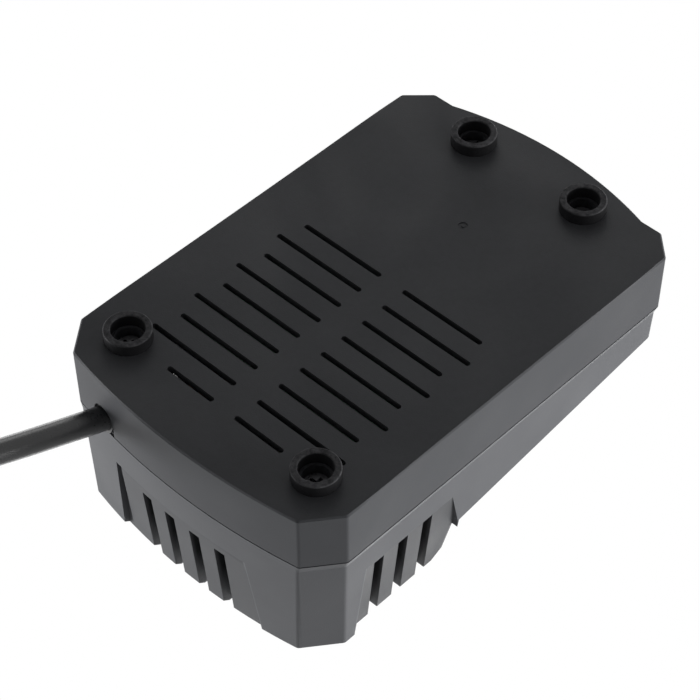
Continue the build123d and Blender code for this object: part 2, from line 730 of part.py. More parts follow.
def fan_guides():
    """Two upright channels that the fan frame slides up into."""
    guides = []
    for side in (-1, 1):
        edge = FAN_X + side * FAN_SIZE / 2
        x0, x1 = edge - side * GUIDE_LIP, edge + side * GUIDE_T
        y0, y1 = FAN_Y - GUIDE_LIP_T, FAN_REAR + GUIDE_LIP_T
        guides.append(block(x0, x1, y0, y1, CEILING_Z - GUIDE_DROP, TOP_Z))
    fan = block(FAN_X - FAN_SIZE / 2, FAN_X + FAN_SIZE / 2, FAN_Y, FAN_REAR, 0, CEILING_Z)
    return [guide - fan for guide in guides]


def upper_housing():
    """Deck and rear block in one moulding."""
    outside = housing_outside()
    body = outside - housing_inside()
    pocket_w, pocket_l, pocket_d = LATCH_POCKET
    y0, y1 = LATCH_Y - pocket_l / 2, LATCH_Y + pocket_l / 2
    low = CRADLE_FLOOR - pocket_d
    half = pocket_w / 2
    inner = [rod(CASE_BOSS_R, x, y, BOSS_JOINT_Z, TOP_Z) for x, y in FEET]
    inner += [rod(LED_POST_R, sx * LED_POST_X, LENS_Y, led_board_top(), TOP_Z) for sx in (-1, 1)]
    inner += fan_guides()
    inner.append(ON_DECK * block(-half - WALL, half + WALL, y0 - WALL, y1 + WALL, low - WALL, 0))
    pads = side_panel_pads() + [rear_panel_pad()]
    below = block(-REACH, REACH, -REACH, REACH, 0, SEAM_Z)
    body += [(shape & (outside + below)) for shape in inner]
    body += [(shape & outside) for shape in pads]
    body += [ON_DECK * rod(STAKE_R, x, y, CRADLE_UNDER - 2.5, CRADLE_UNDER) for x, y in stake_points()]
    side_cut = side_panel_cut()
    cuts = both_sides(side_cut) + [rear_panel_cut()]
    cuts += side_vent_cuts() + rear_vent_cuts()
    cuts.append(ON_DECK * block(-half, half, y0, y1, low, REACH))
    cuts += [rod(CASE_SCREW_R, x, y, BOSS_JOINT_Z, WELL_TOP + CASE_SCREW_L + 2) for x, y in FEET]
    low = led_board_top()
    cuts += [rod(BOARD_SCREW_R, sx * LED_POST_X, LENS_Y, low, low + LED_SCREW_L) for sx in (-1, 1)]
    half_x, half_y = LENS[0] / 2 + FIT, LENS[1] / 2 + FIT
    cuts.append(block(-half_x, half_x, LENS_Y - half_y, LENS_Y + half_y, 0, REACH))
    cuts.append(terminal_window())
    hole = RAIL_SCREW_R + RAIL_SCREW_CLEAR
    cuts += [ON_DECK * rod(hole, x, y, CRADLE_UNDER, CRADLE_FLOOR) for x, y in rail_screw_points()]
    near_wall = block(-REACH, REACH, EXIT[1] - WALL - 2, REACH, 0, REACH)
    cuts.append(along_cord(CORD_D / 2 + BUSHING_WALL, -CORD_STUB, 6) & near_wall)
    return body - cuts


def foot_rings():
    """Ring feet round the screw wells, with rounded lower edges."""
    top = FOOT_H + FOOT_SEAT
    foot = rod(FOOT_D / 2, 0, 0, 0, top) - rod(FOOT_BORE_D / 2, 0, 0, 0, top)
    foot = fillet(foot.edges().group_by(Axis.Z)[0], FOOT_EDGE_R)
    return [Pos(x, y, 0) * foot for x, y in FEET]


def case_screws():
    return [screw(x, y, WELL_TOP, CASE_HEAD, CASE_SCREW_R, CASE_SCREW_L, True) for x, y in FEET]


def rail_screw_rows():
    return (RAIL_Y[0] + RAIL_SCREW_IN[0], RAIL_Y[1] - RAIL_SCREW_IN[1])


def rail_screw_points():
    x = CRADLE_HALF - RAIL_T / 2
    return [(sx * x, y) for y in rail_screw_rows() for sx in (-1, 1)]


def dock_rail(side):
    """Guide rail with a lip that the pack's flange runs under, in the deck's own frame."""
    outer, inner = CRADLE_HALF, CRADLE_HALF - RAIL_T
    lip = inner - RAIL_LIP
    under = RAIL_TOP - RAIL_LIP_T
    points = [
        (outer, CRADLE_FLOOR),
        (outer, RAIL_TOP),
        (lip, RAIL_TOP),
        (lip, under),
        (inner, under),
        (inner, CRADLE_FLOOR),
    ]
    rail = prism_y([(side * x, z) for x, z in points], *RAIL_Y)
    lead = prism_x(
        [
            (RAIL_Y[0], RAIL_TOP - 3),
            (RAIL_Y[0], RAIL_TOP),
            (RAIL_Y[0] + 8, RAIL_TOP),
        ],
        -REACH,
        REACH,
    )
    x = side * (CRADLE_HALF - RAIL_T / 2)
    top = CRADLE_UNDER + RAIL_SCREW_L
    return ON_DECK * (rail - lead - [rod(RAIL_SCREW_R, x, y, CRADLE_FLOOR, top) for y in rail_screw_rows()])


def rail_screws():
    return [
        ON_DECK * screw(x, y, CRADLE_UNDER, RAIL_SCREW_HEAD, RAIL_SCREW_R, RAIL_SCREW_L, True)
        for x, y in rail_screw_points()
    ]


def stake_points():
    """Stakes that hold the terminal block's flange."""
    x = TERMINAL_HALF + TERMINAL_FLANGE[0] / 2
    middle = sum(TERMINAL_Y) / 2
    return [(sx * x, middle + dy) for sx in (-1, 1) for dy in (-6.0, 6.0)]


def terminal_window():
    y0, y1 = TERMINAL_Y
    return ON_DECK * block(
        -TERMINAL_HALF - FIT, TERMINAL_HALF + FIT, y0 - FIT, y1 + FIT, CRADLE_UNDER, CRADLE_FLOOR
    )


def blade_cut(x, length):
    """Slit that one blade stands in, right through the terminal block."""
    y1 = TERMINAL_Y[1] - TERMINAL_WALL
    low = CRADLE_UNDER - TERMINAL_FLANGE[1]
    return block(x - BLADE_T / 2, x + BLADE_T / 2, y1 - length, y1, low, CRADLE_FLOOR + TERMINAL_TOP)


def terminal_block():
    """Insulating carrier of the contact blades."""
    half, (y0, y1) = TERMINAL_HALF, TERMINAL_Y
    wide, thick = TERMINAL_FLANGE
    top = CRADLE_FLOOR + TERMINAL_TOP
    body = block(-half, half, y0, y1, CRADLE_UNDER, top)
    body += block(-half - wide, half + wide, y0, y1, CRADLE_UNDER - thick, CRADLE_UNDER)
    body += block(-half, half, y1 - TERMINAL_WALL, y1, top, CRADLE_FLOOR + TERMINAL_CHEEK)
    for side in (-1, 1):
        body += block(side * (half - TERMINAL_WALL), side * half, y0, y1, top, CRADLE_FLOOR + TERMINAL_CHEEK)
    body -= [blade_cut(x, POWER_BLADE_L) for x in POWER_BLADE_X]
    body -= [blade_cut(x, SIGNAL_BLADE_L) for x in SIGNAL_BLADE_X]
    low = CRADLE_UNDER - thick
    return ON_DECK * (body - [rod(STAKE_R, x, y, low, CRADLE_UNDER) for x, y in stake_points()])


def blades(places, length):
    """Contact blades with their solder tails below the carrier."""
    y1 = TERMINAL_Y[1] - TERMINAL_WALL
    low = CRADLE_UNDER - TERMINAL_FLANGE[1]
    top = CRADLE_FLOOR + TERMINAL_TOP
    shapes = []
    for x in places:
        x0, x1 = x - BLADE_T / 2, x + BLADE_T / 2
        y0, high, middle = y1 - length, top + BLADE_RISE, y1 - length / 2
        nose = [(y0, high - BLADE_NOSE), (y0, high), (y0 + BLADE_NOSE, high)]
        blade = block(x0, x1, y0, y1, low, high) - prism_x(nose, x0 - 1, x1 + 1)
        tail = block(x0, x1, middle - BLADE_TAIL_W / 2, middle + BLADE_TAIL_W / 2, low - BLADE_TAIL, low)
        shapes.append(ON_DECK * (blade + tail))
    return shapes


def led_board_top():
    return CEILING_Z - LENS_FLANGE[1] - LED_H - LED_POST_GAP


def status_lens():
    """Clear window flush with the block's top, with a flange under it."""
    length, width = LENS
    margin, thick = LENS_FLANGE
    lens = block(-length / 2, length / 2, LENS_Y - width / 2, LENS_Y + width / 2, CEILING_Z, TOP_Z)
    flange = block(
        -length / 2 - margin,
        length / 2 + margin,
        LENS_Y - width / 2 - margin,
        LENS_Y + width / 2 + margin,
        CEILING_Z - thick,
        CEILING_Z,
    )
    return lens + flange


def led_board():
    length, width, thick = LED_BOARD
    top = led_board_top()
    board = block(-length / 2, length / 2, LENS_Y - width / 2, LENS_Y + width / 2, top - thick, top)
    return board - [rod(BOARD_SCREW_R, sx * LED_POST_X, LENS_Y, top - thick, top) for sx in (-1, 1)]


def status_leds():
    """Round-headed lamps standing on the small board."""
    low = led_board_top()
    lamps = []
    for x in LED_X:
        lamp = rod(LED_R + 0.35, x, LENS_Y, low, low + 1) + rod(LED_R, x, LENS_Y, low, low + LED_H - LED_R)
        lamps.append(lamp + Pos(x, LENS_Y, low + LED_H - LED_R) * Sphere(LED_R))
    return lamps


def led_board_screws():
    seat = led_board_top() - LED_BOARD[2]
    return [
        screw(sx * LED_POST_X, LENS_Y, seat, LED_SCREW_HEAD, BOARD_SCREW_R, LED_SCREW_L, True)
        for sx in (-1, 1)
    ]


def main_board():
    y0, y1 = BOARD_Y
    board = block(-BOARD_HALF, BOARD_HALF, y0, y1, BOARD_Z, BOARD_TOP)
    return board - [rod(BOARD_SCREW_R, x, y, BOARD_Z, BOARD_TOP) for x, y in BOARD_POSTS]


def board_screws():
    return [
        screw(x, y, BOARD_TOP, BOARD_SCREW_HEAD, BOARD_SCREW_R, BOARD_SCREW_L, False)
        for x, y in BOARD_POSTS
    ]


def on_board(x, y, length, width, height, lift=0.0):
    """Box standing on the main board."""
    low = BOARD_TOP + lift
    y += DECK_END_Y
    return block(x - length / 2, x + length / 2, y - width / 2, y + width / 2, low, low + height)


def board_rod(radius, x, y, low, high):
    """Upright cylinder over the main board, between two heights above it."""
    return rod(radius, x, y + DECK_END_Y, BOARD_TOP + low, BOARD_TOP + high)


def transformer_core():
    """Ferrite frame with a round middle leg."""
    x, y = TRANSFORMER_AT
    length, width, height = CORE
    core = on_board(x, y, length, width, height)
    core -= on_board(x, y, length - 2 * CORE_LEG, width + 2, height - 2 * CORE_BAR, CORE_BAR)
    return core + board_rod(CORE_POST_R, x, y, 1, height - 1)


def transformer_winding():
    """Wound bobbin between the core's limbs."""
    x, y = TRANSFORMER_AT
    low, high = CORE_BAR, CORE[2] - CORE_BAR
    return board_rod(CORE[0] / 2 - CORE_LEG, x, y, low, high) - board_rod(CORE_POST_R, x, y, low, high)


def can(x, y, radius, height):
    """Electrolytic capacitor with its crimp, standing on the board."""
    low, tall, depth = CAN_CRIMP
    crimp = board_rod(radius, x, y, low, low + tall) - board_rod(radius - depth, x, y, low, low + tall)
    return board_rod(radius, x, y, 0, height) - crimp


def choke_core():
    """Ring core lying flat."""
    x, y, outer, inner, height = CHOKE
    return board_rod(outer, x, y, 0, height) - board_rod(inner, x, y, 0, height)


def choke_winding():
    """Two windings, one on each side of the ring core."""
    x, y, outer, inner, height = CHOKE
    skin = CHOKE_SKIN
    top = height + skin
    wrap = board_rod(outer + skin, x, y, 0, top) - board_rod(inner - skin, x, y, 0, top) - choke_core()
    half = outer - CHOKE_SPLIT / 2 + 2 * skin
    keep = [on_board(x + s * (CHOKE_SPLIT + half) / 2, y, half, 3 * outer, top) for s in (-1, 1)]
    return [wrap & side for side in keep]


def input_fuse():
    """Glass fuse lying along X."""
    x, y, radius, length = FUSE
    place = Location((x - length / 2, y + DECK_END_Y, BOARD_TOP + radius + FUSE_LIFT), (0, 90, 0))
    return place * Cylinder(radius, length, align=(Align.CENTER, Align.CENTER, Align.MIN))


def fuse_clips():
    """Spring clips that hold the fuse's two caps."""
    x, y, radius, length = FUSE
    middles = [x + side * (length - FUSE_CLIP) / 2 for side in (-1, 1)]
    width = 2 * radius + FUSE_LIFT
    return [on_board(middle, y, FUSE_CLIP, width, 2 * radius) - input_fuse() for middle in middles]


def heatsink(x, y, length, width, height):
    """Aluminium plate with a row of short fins."""
    plate = on_board(x, y, length, width, height)
    thick = SINK_FIN_T
    along = max(length, width) - 2 * thick
    steps = [along * (i / (SINK_FIN_COUNT - 1) - 0.5) for i in range(SINK_FIN_COUNT)]
    if length > width:
        return plate + [on_board(x + step, y - width, thick, width, height) for step in steps]
    return plate + [on_board(x + length, y + step, length, thick, height) for step in steps]


def switch_transistor():
    """Power transistor bolted to the primary heatsink."""
    x, y = PRIMARY_SINK[0], PRIMARY_SINK[1]
    length, thick, height = POWER_CASE
    middle = y + PRIMARY_SINK[3] / 2 + thick / 2
    lift, pitch, leg = POWER_LEGS
    legs = [on_board(x + step * pitch, middle, leg, leg, lift) for step in (-1, 0, 1)]
    return on_board(x, middle, length, thick, height, lift) + legs


def output_rectifier():
    """Double diode bolted to the secondary heatsink."""
    x, y = SECONDARY_SINK[0], SECONDARY_SINK[1]
    length, thick, height = POWER_CASE
    middle = x - SECONDARY_SINK[2] / 2 - thick / 2
    lift, pitch, leg = POWER_LEGS
    legs = [on_board(middle, y + step * pitch, leg, leg, lift) for step in (-1, 0, 1)]
    return on_board(middle, y, thick, length, height, lift) + legs


def fan_frame():
    """Square frame with a round bore, four struts and the bearing plate at the rear."""
    half = FAN_SIZE / 2
    z = FAN_Z
    plate_t, strut_half = FAN_PLATE
    hole_r, hole_at = FAN_HOLE
    frame = block(FAN_X - half, FAN_X + half, FAN_Y, FAN_REAR, z - half, z + half)
    frame -= rod_y(FAN_BORE_R, FAN_X, z, FAN_Y, FAN_REAR)
    plate = rod_y(FAN_HUB_R, FAN_X, z, FAN_REAR - plate_t, FAN_REAR)
    strut = block(FAN_HUB_R - 1, FAN_BORE_R + 1, FAN_REAR - plate_t, FAN_REAR, -strut_half, strut_half)
    for turn in (45, 135, 225, 315):
        plate += Pos(FAN_X, 0, z) * Rot(0, turn, 0) * strut
    corners = [(FAN_X + sx * hole_at, z + sz * hole_at) for sx in (-1, 1) for sz in (-1, 1)]
    return frame + plate - [rod_y(hole_r, x, z, FAN_Y, FAN_REAR) for x, z in corners]


def fan_stator():
    """Wound stator with the bearing sleeve, fixed to the frame's plate."""
    y0, y1 = HUB_FRONT + HUB_FACE + FAN_STATOR_GAP, FAN_REAR - FAN_PLATE[0]
    stator = rod_y(FAN_STATOR_R, FAN_X, FAN_Z, y0, y1)
    return stator - rod_y(FAN_SHAFT_R + FAN_SHAFT_FIT, FAN_X, FAN_Z, y0, y1)


def fan_blade(turn):
    """One pitched blade from the hub to the tip."""
    chord, thick = FAN_BLADE
    root, tip = FAN_HUB_R - FAN_HUB_WALL / 2, FAN_BORE_R - FAN_TIP_GAP
    span = block(root, tip, -chord / 2, chord / 2, -thick / 2, thick / 2)
    middle = (HUB_FRONT + HUB_BACK) / 2
    return Pos(FAN_X, middle, FAN_Z) * Rot(0, turn, 0) * Rot(FAN_BLADE_TILT, 0, 0) * span


def fan_rotor():
    """Hub cup with blades; it turns about Y."""
    hub = rod_y(FAN_HUB_R, FAN_X, FAN_Z, HUB_FRONT, HUB_BACK)
    hub -= rod_y(FAN_HUB_R - FAN_HUB_WALL, FAN_X, FAN_Z, HUB_FRONT + HUB_FACE, HUB_BACK)
    hub += [fan_blade(360 / FAN_BLADES * i) for i in range(FAN_BLADES)]
    return hub - fan_shaft()


def fan_shaft():
    """Steel pin pressed into the hub, running in the stator's sleeve."""
    return rod_y(FAN_SHAFT_R, FAN_X, FAN_Z, HUB_FRONT, HUB_BACK)


def cord(points, diameter):
    """Round cord along straight runs joined by arcs as large as the runs allow."""
    points = [Vector(*point) for point in points]
    runs = [b - a for a, b in zip(points, points[1:])]
    turns = [a.get_angle(b) for a, b in zip(runs, runs[1:])]
    shorter = [min(a.length, b.length) for a, b in zip(runs, runs[1:])]
    radii = [0.45 * run / tan(radians(turn) / 2) for run, turn in zip(shorter, turns)]
    path = FilletPolyline(*points, radius=radii)
    section = Plane(origin=path @ 0, z_dir=path % 0) * Circle(diameter / 2)
    tube = sweep(section, path=path)
    share = tube.volume / (path.length * pi * (diameter / 2) ** 2)
    print(f"cord {diameter} mm: length {path.length:.1f}, volume {share:.5f} of section times length")
    print("  radii", [round(radius, 1) for radius in radii])
    return tube


def from_exit(distance):
    """Point on the cord's line at a distance outside the rear wall."""
    return tuple(Vector(*EXIT) + CORD_DIR * distance)


COIL_IN = COIL_MID_R - COIL_ROWS * CORD_D / 2
COIL_OUT = COIL_MID_R + COIL_ROWS * CORD_D / 2
COIL_TOP = COIL_LAYERS * CORD_D
OUTER_TURN = COIL_OUT - CORD_D / 2
CORD_POINTS = [
    from_exit(-CORD_STUB),
    from_exit(22.0),
    (-42.5, 134.0, 6.6),
    (-40.0, 170.0, CORD_D / 2),
    (-45.8, 206.0, CORD_D / 2),
    (COIL_CENTRE[0] - OUTER_TURN, COIL_CENTRE[1], CORD_D / 2),
]
PLUG_X = COIL_CENTRE[0] - PLUG_FROM_COIL[0]
PLUG_Z = COIL_TOP + PLUG_SEAT_GAP + PLUG_H / 2
PLUG_END_Y = COIL_CENTRE[1] - PLUG_FROM_COIL[1]
PLUG_REAR_Y = PLUG_END_Y + PLUG_BOOT_L
PLUG_FACE_Y = PLUG_REAR_Y + PLUG_L
PIN_X = (PLUG_X - PIN_SPACING / 2, PLUG_X + PIN_SPACING / 2)


def on_coil(angle, radius, z):
    """Point over the coil, by its angle from the side where the cord comes in."""
    x, y = COIL_CENTRE
    return (x - radius * cos(radians(angle)), y + radius * sin(radians(angle)), z)


# The last turn climbs over the coil, round its near side and back to the plug that lies on it
LEAD_TURN = OUTER_TURN / cos(radians(LEAD_STEP / 2))
PLUG_LEAD_POINTS = [
    on_coil(60, OUTER_TURN, COIL_TOP - CORD_D / 2),
    *(on_coil(75 + LEAD_STEP * step, LEAD_TURN, z) for step, z in enumerate(LEAD_CLIMB)),
    (PLUG_X + 23.4, PLUG_END_Y - 39.6, 26.6),
    (PLUG_X + 8.6, PLUG_END_Y - 31.4, 27.9),
    (PLUG_X, PLUG_END_Y - 16.6, PLUG_Z),
    (PLUG_X, PLUG_END_Y, PLUG_Z),
]


def ring(outer, inner, z0, z1):
    """Flat ring round the coil's middle."""
    x, y = COIL_CENTRE
    return rod(outer, x, y, z0, z1) - rod(inner, x, y, z0, z1)


def coil_space():
    """Outer shape of the coiled cord, a little larger outside so that the cord's ends meet it cleanly."""
    return ring(COIL_OUT + 0.2, COIL_IN, 0, COIL_TOP)


def tie_zone():
    x, y = COIL_CENTRE
    return block(x - TIE_W / 2, x + TIE_W / 2, y - COIL_OUT - 5, y - COIL_IN + 5, 0, COIL_TOP + 5)


def cord_coil():
    strap = tie_zone() & block(-REACH * 2, REACH * 2, 0, REACH * 3, 0, TIE_T)
    return coil_space() - strap


def coil_tie():
    """Wrap that holds the coil's turns together."""
    band = ring(COIL_OUT + 0.2 + TIE_T, COIL_IN - TIE_T, 0, COIL_TOP + TIE_T)
    return (band & tie_zone()) - cord_coil()


def plug_plane(y):
    """Plane across the plug at a place along it."""
    return Plane((PLUG_X, y, PLUG_Z), x_dir=(1, 0, 0), z_dir=(0, 1, 0))


def plug_body():
    """Moulded plug with a tapered boot towards the cord, lying flat on the coil."""
    shoulder = PLUG_REAR_Y + PLUG_SHOULDER_L
    block_face = RectangleRounded(PLUG_W, PLUG_H, PLUG_CORNER_R)
    neck_face = RectangleRounded(*PLUG_NECK, PLUG_NECK_CORNER_R)
    body = extrude(plug_plane(shoulder) * block_face, PLUG_FACE_Y - shoulder)
    body += loft([plug_plane(PLUG_REAR_Y) * neck_face, plug_plane(shoulder) * block_face])
    thick, thin = PLUG_BOOT_R
    body += loft([plug_plane(PLUG_END_Y) * Circle(thin), plug_plane(PLUG_REAR_Y) * Circle(thick)])
    seat = PLUG_FACE_Y - PIN_ROOT_L
    return body - [rod_y(PIN_ROOT_D / 2, x, PLUG_Z, seat, PLUG_FACE_Y) for x in PIN_X]


def plug_pins():
    """Round pins with a thinner insulated neck, rooted in the plug."""
    tip = PLUG_FACE_Y + PIN_L - PIN_D / 2
    neck = PLUG_FACE_Y + PIN_NECK_L
    pins = []
    for x in PIN_X:
        pin = rod_y(PIN_ROOT_D / 2, x, PLUG_Z, PLUG_FACE_Y - PIN_ROOT_L, PLUG_FACE_Y)
        pin += rod_y(PIN_NECK_D / 2, x, PLUG_Z, PLUG_FACE_Y, neck)
        pin += rod_y(PIN_D / 2, x, PLUG_Z, neck, tip)
        pins.append(pin + Pos(x, tip, PLUG_Z) * Sphere(PIN_D / 2))
    return pins


def cord_bushing():
    """Collar round the cord in the rear wall's notch, with a flange inside the wall."""
    flange_r, flange_t = BUSHING_FLANGE
    low = -WALL - 1 - flange_t
    sleeve = along_cord(CORD_D / 2 + BUSHING_WALL, low, -BUSHING_OUT)
    flange = along_cord(flange_r, low, 0) & inner_space()
    return sleeve + flange - along_cord(CORD_D / 2, -CORD_STUB, 6)


def mains_leads():
    """Two leads from the end of the cord's sheath to the board."""
    end = Vector(*from_exit(-CORD_STUB))
    shapes = []
    for dx, (pad_x, pad_y) in zip((-1.9, 1.9), MAINS_PADS):
        start = end + Vector(dx, 0, 0) - CORD_DIR * (dx * CORD_DIR.X)
        away = start - CORD_DIR * 6
        pad_y += DECK_END_Y
        over = (pad_x, pad_y + 3, away.Z - 2)
        points = [start, away, over, (pad_x, pad_y, away.Z - 6), (pad_x, pad_y, BOARD_TOP)]
        shapes.append(cord(points, MAINS_LEAD_D))
    return shapes


def output_leads():
    """Heavy leads from the board up to the two power blades' tails."""
    y = TERMINAL_Y[1] - TERMINAL_WALL - POWER_BLADE_L / 2
    z = CRADLE_UNDER - TERMINAL_FLANGE[1] - BLADE_TAIL
    shapes = []
    for x in POWER_BLADE_X:
        tail, below = [(ON_DECK * Pos(x, y, z - drop)).position for drop in (0, 4)]
        pad_y = DECK_END_Y + OUTPUT_PAD_Y
        points = [(x, pad_y, BOARD_TOP), (x, pad_y, BOARD_TOP + 6), below, tail]
        shapes.append(cord(points, OUTPUT_LEAD_D))
    return shapes


def led_leads():
    """Three thin leads from the lamp board down to their header."""
    top = led_board_top() - LED_BOARD[2]
    x, y, _, _, height = LED_HEADER
    y += DECK_END_Y
    board_y = LENS_Y - LED_BOARD[1] / 2 + 1.6
    shapes = []
    for dx in (-1.6, 0.0, 1.6):
        low = BOARD_TOP + height
        points = [(x + dx, board_y, top), (x + dx, board_y, top - 6), (x + dx, y, low + 10), (x + dx, y, low)]
        shapes.append(cord(points, LED_LEAD_D))
    return shapes


def fan_leads():
    """Two thin leads from the fan frame to their header."""
    x, y, _, _, height = FAN_HEADER
    y += DECK_END_Y
    z = FAN_Z - FAN_SIZE / 2 + 2
    low = BOARD_TOP + height
    shapes = []
    for dx in (-1.3, 1.3):
        start_x = FAN_X + 12 - dx
        points = [
            (start_x, FAN_Y, z),
            (start_x, FAN_Y - 4 - dx, z),
            (x - dx, FAN_Y - 6 - dx, z - 1),
            (x - dx, y, low + 3),
            (x - dx, y, low),
        ]
        shapes.append(cord(points, FAN_LEAD_D))
    return shapes


def build():
    """Every sub-part by its node name."""
    inside_coil = coil_space()
    return {
        "bottom_cover": bottom_cover(),
        "upper_housing": upper_housing(),
        "foot_rings": foot_rings(),
        "case_screws": case_screws(),
        "dock_rail_right": dock_rail(1),
        "dock_rail_left": dock_rail(-1),
        "rail_screws": rail_screws(),
        "terminal_block": terminal_block(),
        "power_blades": blades(POWER_BLADE_X, POWER_BLADE_L),
        "signal_blades": blades(SIGNAL_BLADE_X, SIGNAL_BLADE_L),
        "status_lens": status_lens(),
        "status_leds": status_leds(),
        "led_board": led_board(),
        "led_board_screws": led_board_screws(),
        "main_board": main_board(),
        "board_screws": board_screws(),
        "transformer_core": transformer_core(),
        "transformer_winding": transformer_winding(),
        "input_capacitor": can(*INPUT_CAP),
        "output_capacitors": [can(*place) for place in OUTPUT_CAPS],
        "film_capacitor": on_board(*FILM_CAP),
        "choke_core": choke_core(),
        "choke_winding": choke_winding(),
        "bridge_rectifier": on_board(*BRIDGE),
        "input_fuse": input_fuse(),
        "fuse_clips": fuse_clips(),
        "primary_heatsink": heatsink(*PRIMARY_SINK),
        "switch_transistor": switch_transistor(),
        "secondary_heatsink": heatsink(*SECONDARY_SINK),
        "output_rectifier": output_rectifier(),
        "board_headers": [on_board(*place) for place in (LED_HEADER, FAN_HEADER)],
        "control_chips": [on_board(*place) for place in CHIPS],
        "fan_frame": fan_frame(),
        "fan_stator": fan_stator(),
        "fan_rotor": fan_rotor(),
        "fan_shaft": fan_shaft(),
        "mains_leads": mains_leads(),
        "output_leads": output_leads(),
        "led_leads": led_leads(),
        "fan_leads": fan_leads(),
        "cord_bushing": cord_bushing(),
        "cord_clamp": cord_clamp(),
        "clamp_screws": clamp_screws(),
        "mains_cord": cord(CORD_POINTS, CORD_D) - inside_coil,
        "cord_coil": cord_coil(),
        "coil_tie": coil_tie(),
        "plug_lead": cord(PLUG_LEAD_POINTS, CORD_D) - inside_coil,
        "plug_body": plug_body(),
        "plug_pins": plug_pins(),
    }


for node_name, node_shapes in build().items():
    save(node_name, node_shapes)
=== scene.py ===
# %% [markdown]
# # A slide-in battery charger for cordless tools
# The charger's rigid pieces come from the CAD model as a fixed frame: cover, housing, feet,
# rails, contacts, boards and fan. What is soft or finely worked is modelled here: the mains
# cord, the wrap round its coil and the moulded plug. Everything is in metres.

import bpy
import json
from math import cos, pi, radians, sin
from mathutils import Matrix, Vector


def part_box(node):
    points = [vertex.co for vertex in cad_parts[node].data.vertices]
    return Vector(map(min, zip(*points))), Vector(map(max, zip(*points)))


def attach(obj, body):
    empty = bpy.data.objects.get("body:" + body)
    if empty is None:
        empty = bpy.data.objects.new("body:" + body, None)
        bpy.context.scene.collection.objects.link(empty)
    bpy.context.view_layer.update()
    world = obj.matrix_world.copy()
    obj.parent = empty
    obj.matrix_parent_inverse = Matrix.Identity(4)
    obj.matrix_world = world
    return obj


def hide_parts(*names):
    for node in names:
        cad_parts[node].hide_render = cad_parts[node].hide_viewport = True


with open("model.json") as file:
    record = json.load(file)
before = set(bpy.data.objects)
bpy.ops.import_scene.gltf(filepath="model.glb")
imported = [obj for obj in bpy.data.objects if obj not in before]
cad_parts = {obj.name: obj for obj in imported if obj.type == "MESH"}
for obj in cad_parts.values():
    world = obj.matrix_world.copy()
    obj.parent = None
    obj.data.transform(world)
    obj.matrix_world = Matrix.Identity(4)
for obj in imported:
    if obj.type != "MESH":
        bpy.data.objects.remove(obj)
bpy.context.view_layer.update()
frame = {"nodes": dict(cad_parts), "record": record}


# %% [markdown]
# The camera looks up at the cover from behind and below, the way a charger is seen when it lies
# on its deck. A long lens keeps the walls nearly parallel. A camera needs a place and three
# directions, which are the columns of its matrix: right, up and backwards.

# %% Camera
CAMERA_AT = (0.327413, 0.350292, -0.483011)
CAMERA_RIGHT = (0.72215, -0.69173, 0.00262)
CAMERA_DOWN = (0.50389, 0.52864, 0.68311)
CAMERA_AHEAD = (-0.47391, -0.49199, 0.73031)
SENSOR_MM, LENS_MM = 36, 122.44
CLIP_NEAR, CLIP_FAR = 0.01, 20

camera_data = bpy.data.cameras.new("camera")
camera_data.sensor_width = SENSOR_MM
camera_data.lens = LENS_MM
camera_data.clip_start = CLIP_NEAR
camera_data.clip_end = CLIP_FAR
camera = bpy.data.objects.new("camera", camera_data)
columns = (Vector(CAMERA_RIGHT), -Vector(CAMERA_DOWN), -Vector(CAMERA_AHEAD))
camera.matrix_world = Matrix.Translation(CAMERA_AT) @ Matrix(columns).transposed().to_4x4()
bpy.context.scene.collection.objects.link(camera)
bpy.context.scene.camera = camera
bpy.context.scene.view_settings.view_transform = "Standard"
print("camera distance to the frame's origin:", round(Vector(CAMERA_AT).length, 3))

# %% [markdown]
# A shader is a small network. These helpers add a node with its values, and name the few nodes
# that nearly every finish uses, so that each finish below reads as a short list of what it is
# made of.

# %% Helpers for shader networks
def node(tree, kind, values=None, **settings):
    """A new shader node with its settings, and a value or a link for each of its inputs."""
    made = tree.nodes.new(kind)
    for name, value in settings.items():
        setattr(made, name, value)
    for key, value in (values or {}).items():
        if isinstance(value, bpy.types.NodeSocket):
            tree.links.new(value, made.inputs[key])
        else:
            made.inputs[key].default_value = value
    return made


def maths(tree, operation, *values, clamp=False):
    """A Math node's output, from values or sockets."""
    values = dict(enumerate(values))
    return node(tree, "ShaderNodeMath", values, operation=operation, use_clamp=clamp).outputs[0]


def remap(tree, value, low, high, to_low, to_high):
    """A value taken from one range to another, held at its ends."""
    values = {0: value, 1: low, 2: high, 3: to_low, 4: to_high}
    return node(tree, "ShaderNodeMapRange", values).outputs[0]


def blend_colours(tree, share, first, second):
    """A colour between two, by a share from 0 to 1."""
    mixed = node(tree, "ShaderNodeMix", {0: share, 6: first, 7: second}, data_type="RGBA")
    return mixed.outputs[2]


def scale_vector(tree, vector, factor):
    """A vector, or a colour, times one number."""
    return node(tree, "ShaderNodeVectorMath", {0: vector, 3: factor}, operation="SCALE").outputs[0]


print("helpers for single nodes: node, maths, remap, blend_colours, scale_vector")

# %% [markdown]
# Every pattern here is laid on object coordinates: each piece's origin is the frame's origin, so
# they are places in metres on the whole charger. Noise carries most of the patterns. Its values
# crowd round the middle, and nearly all lie between 0.3 and 0.7, so that range is spread out.

# %% Helpers for places and noise
NOISE_LOW, NOISE_HIGH = 0.3, 0.7


def object_place(tree):
    """The place on the object, as a vector."""
    return node(tree, "ShaderNodeTexCoord").outputs["Object"]


def axes_of(tree, vector):
    """A vector's three parts, as sockets."""
    return node(tree, "ShaderNodeSeparateXYZ", {0: vector}).outputs


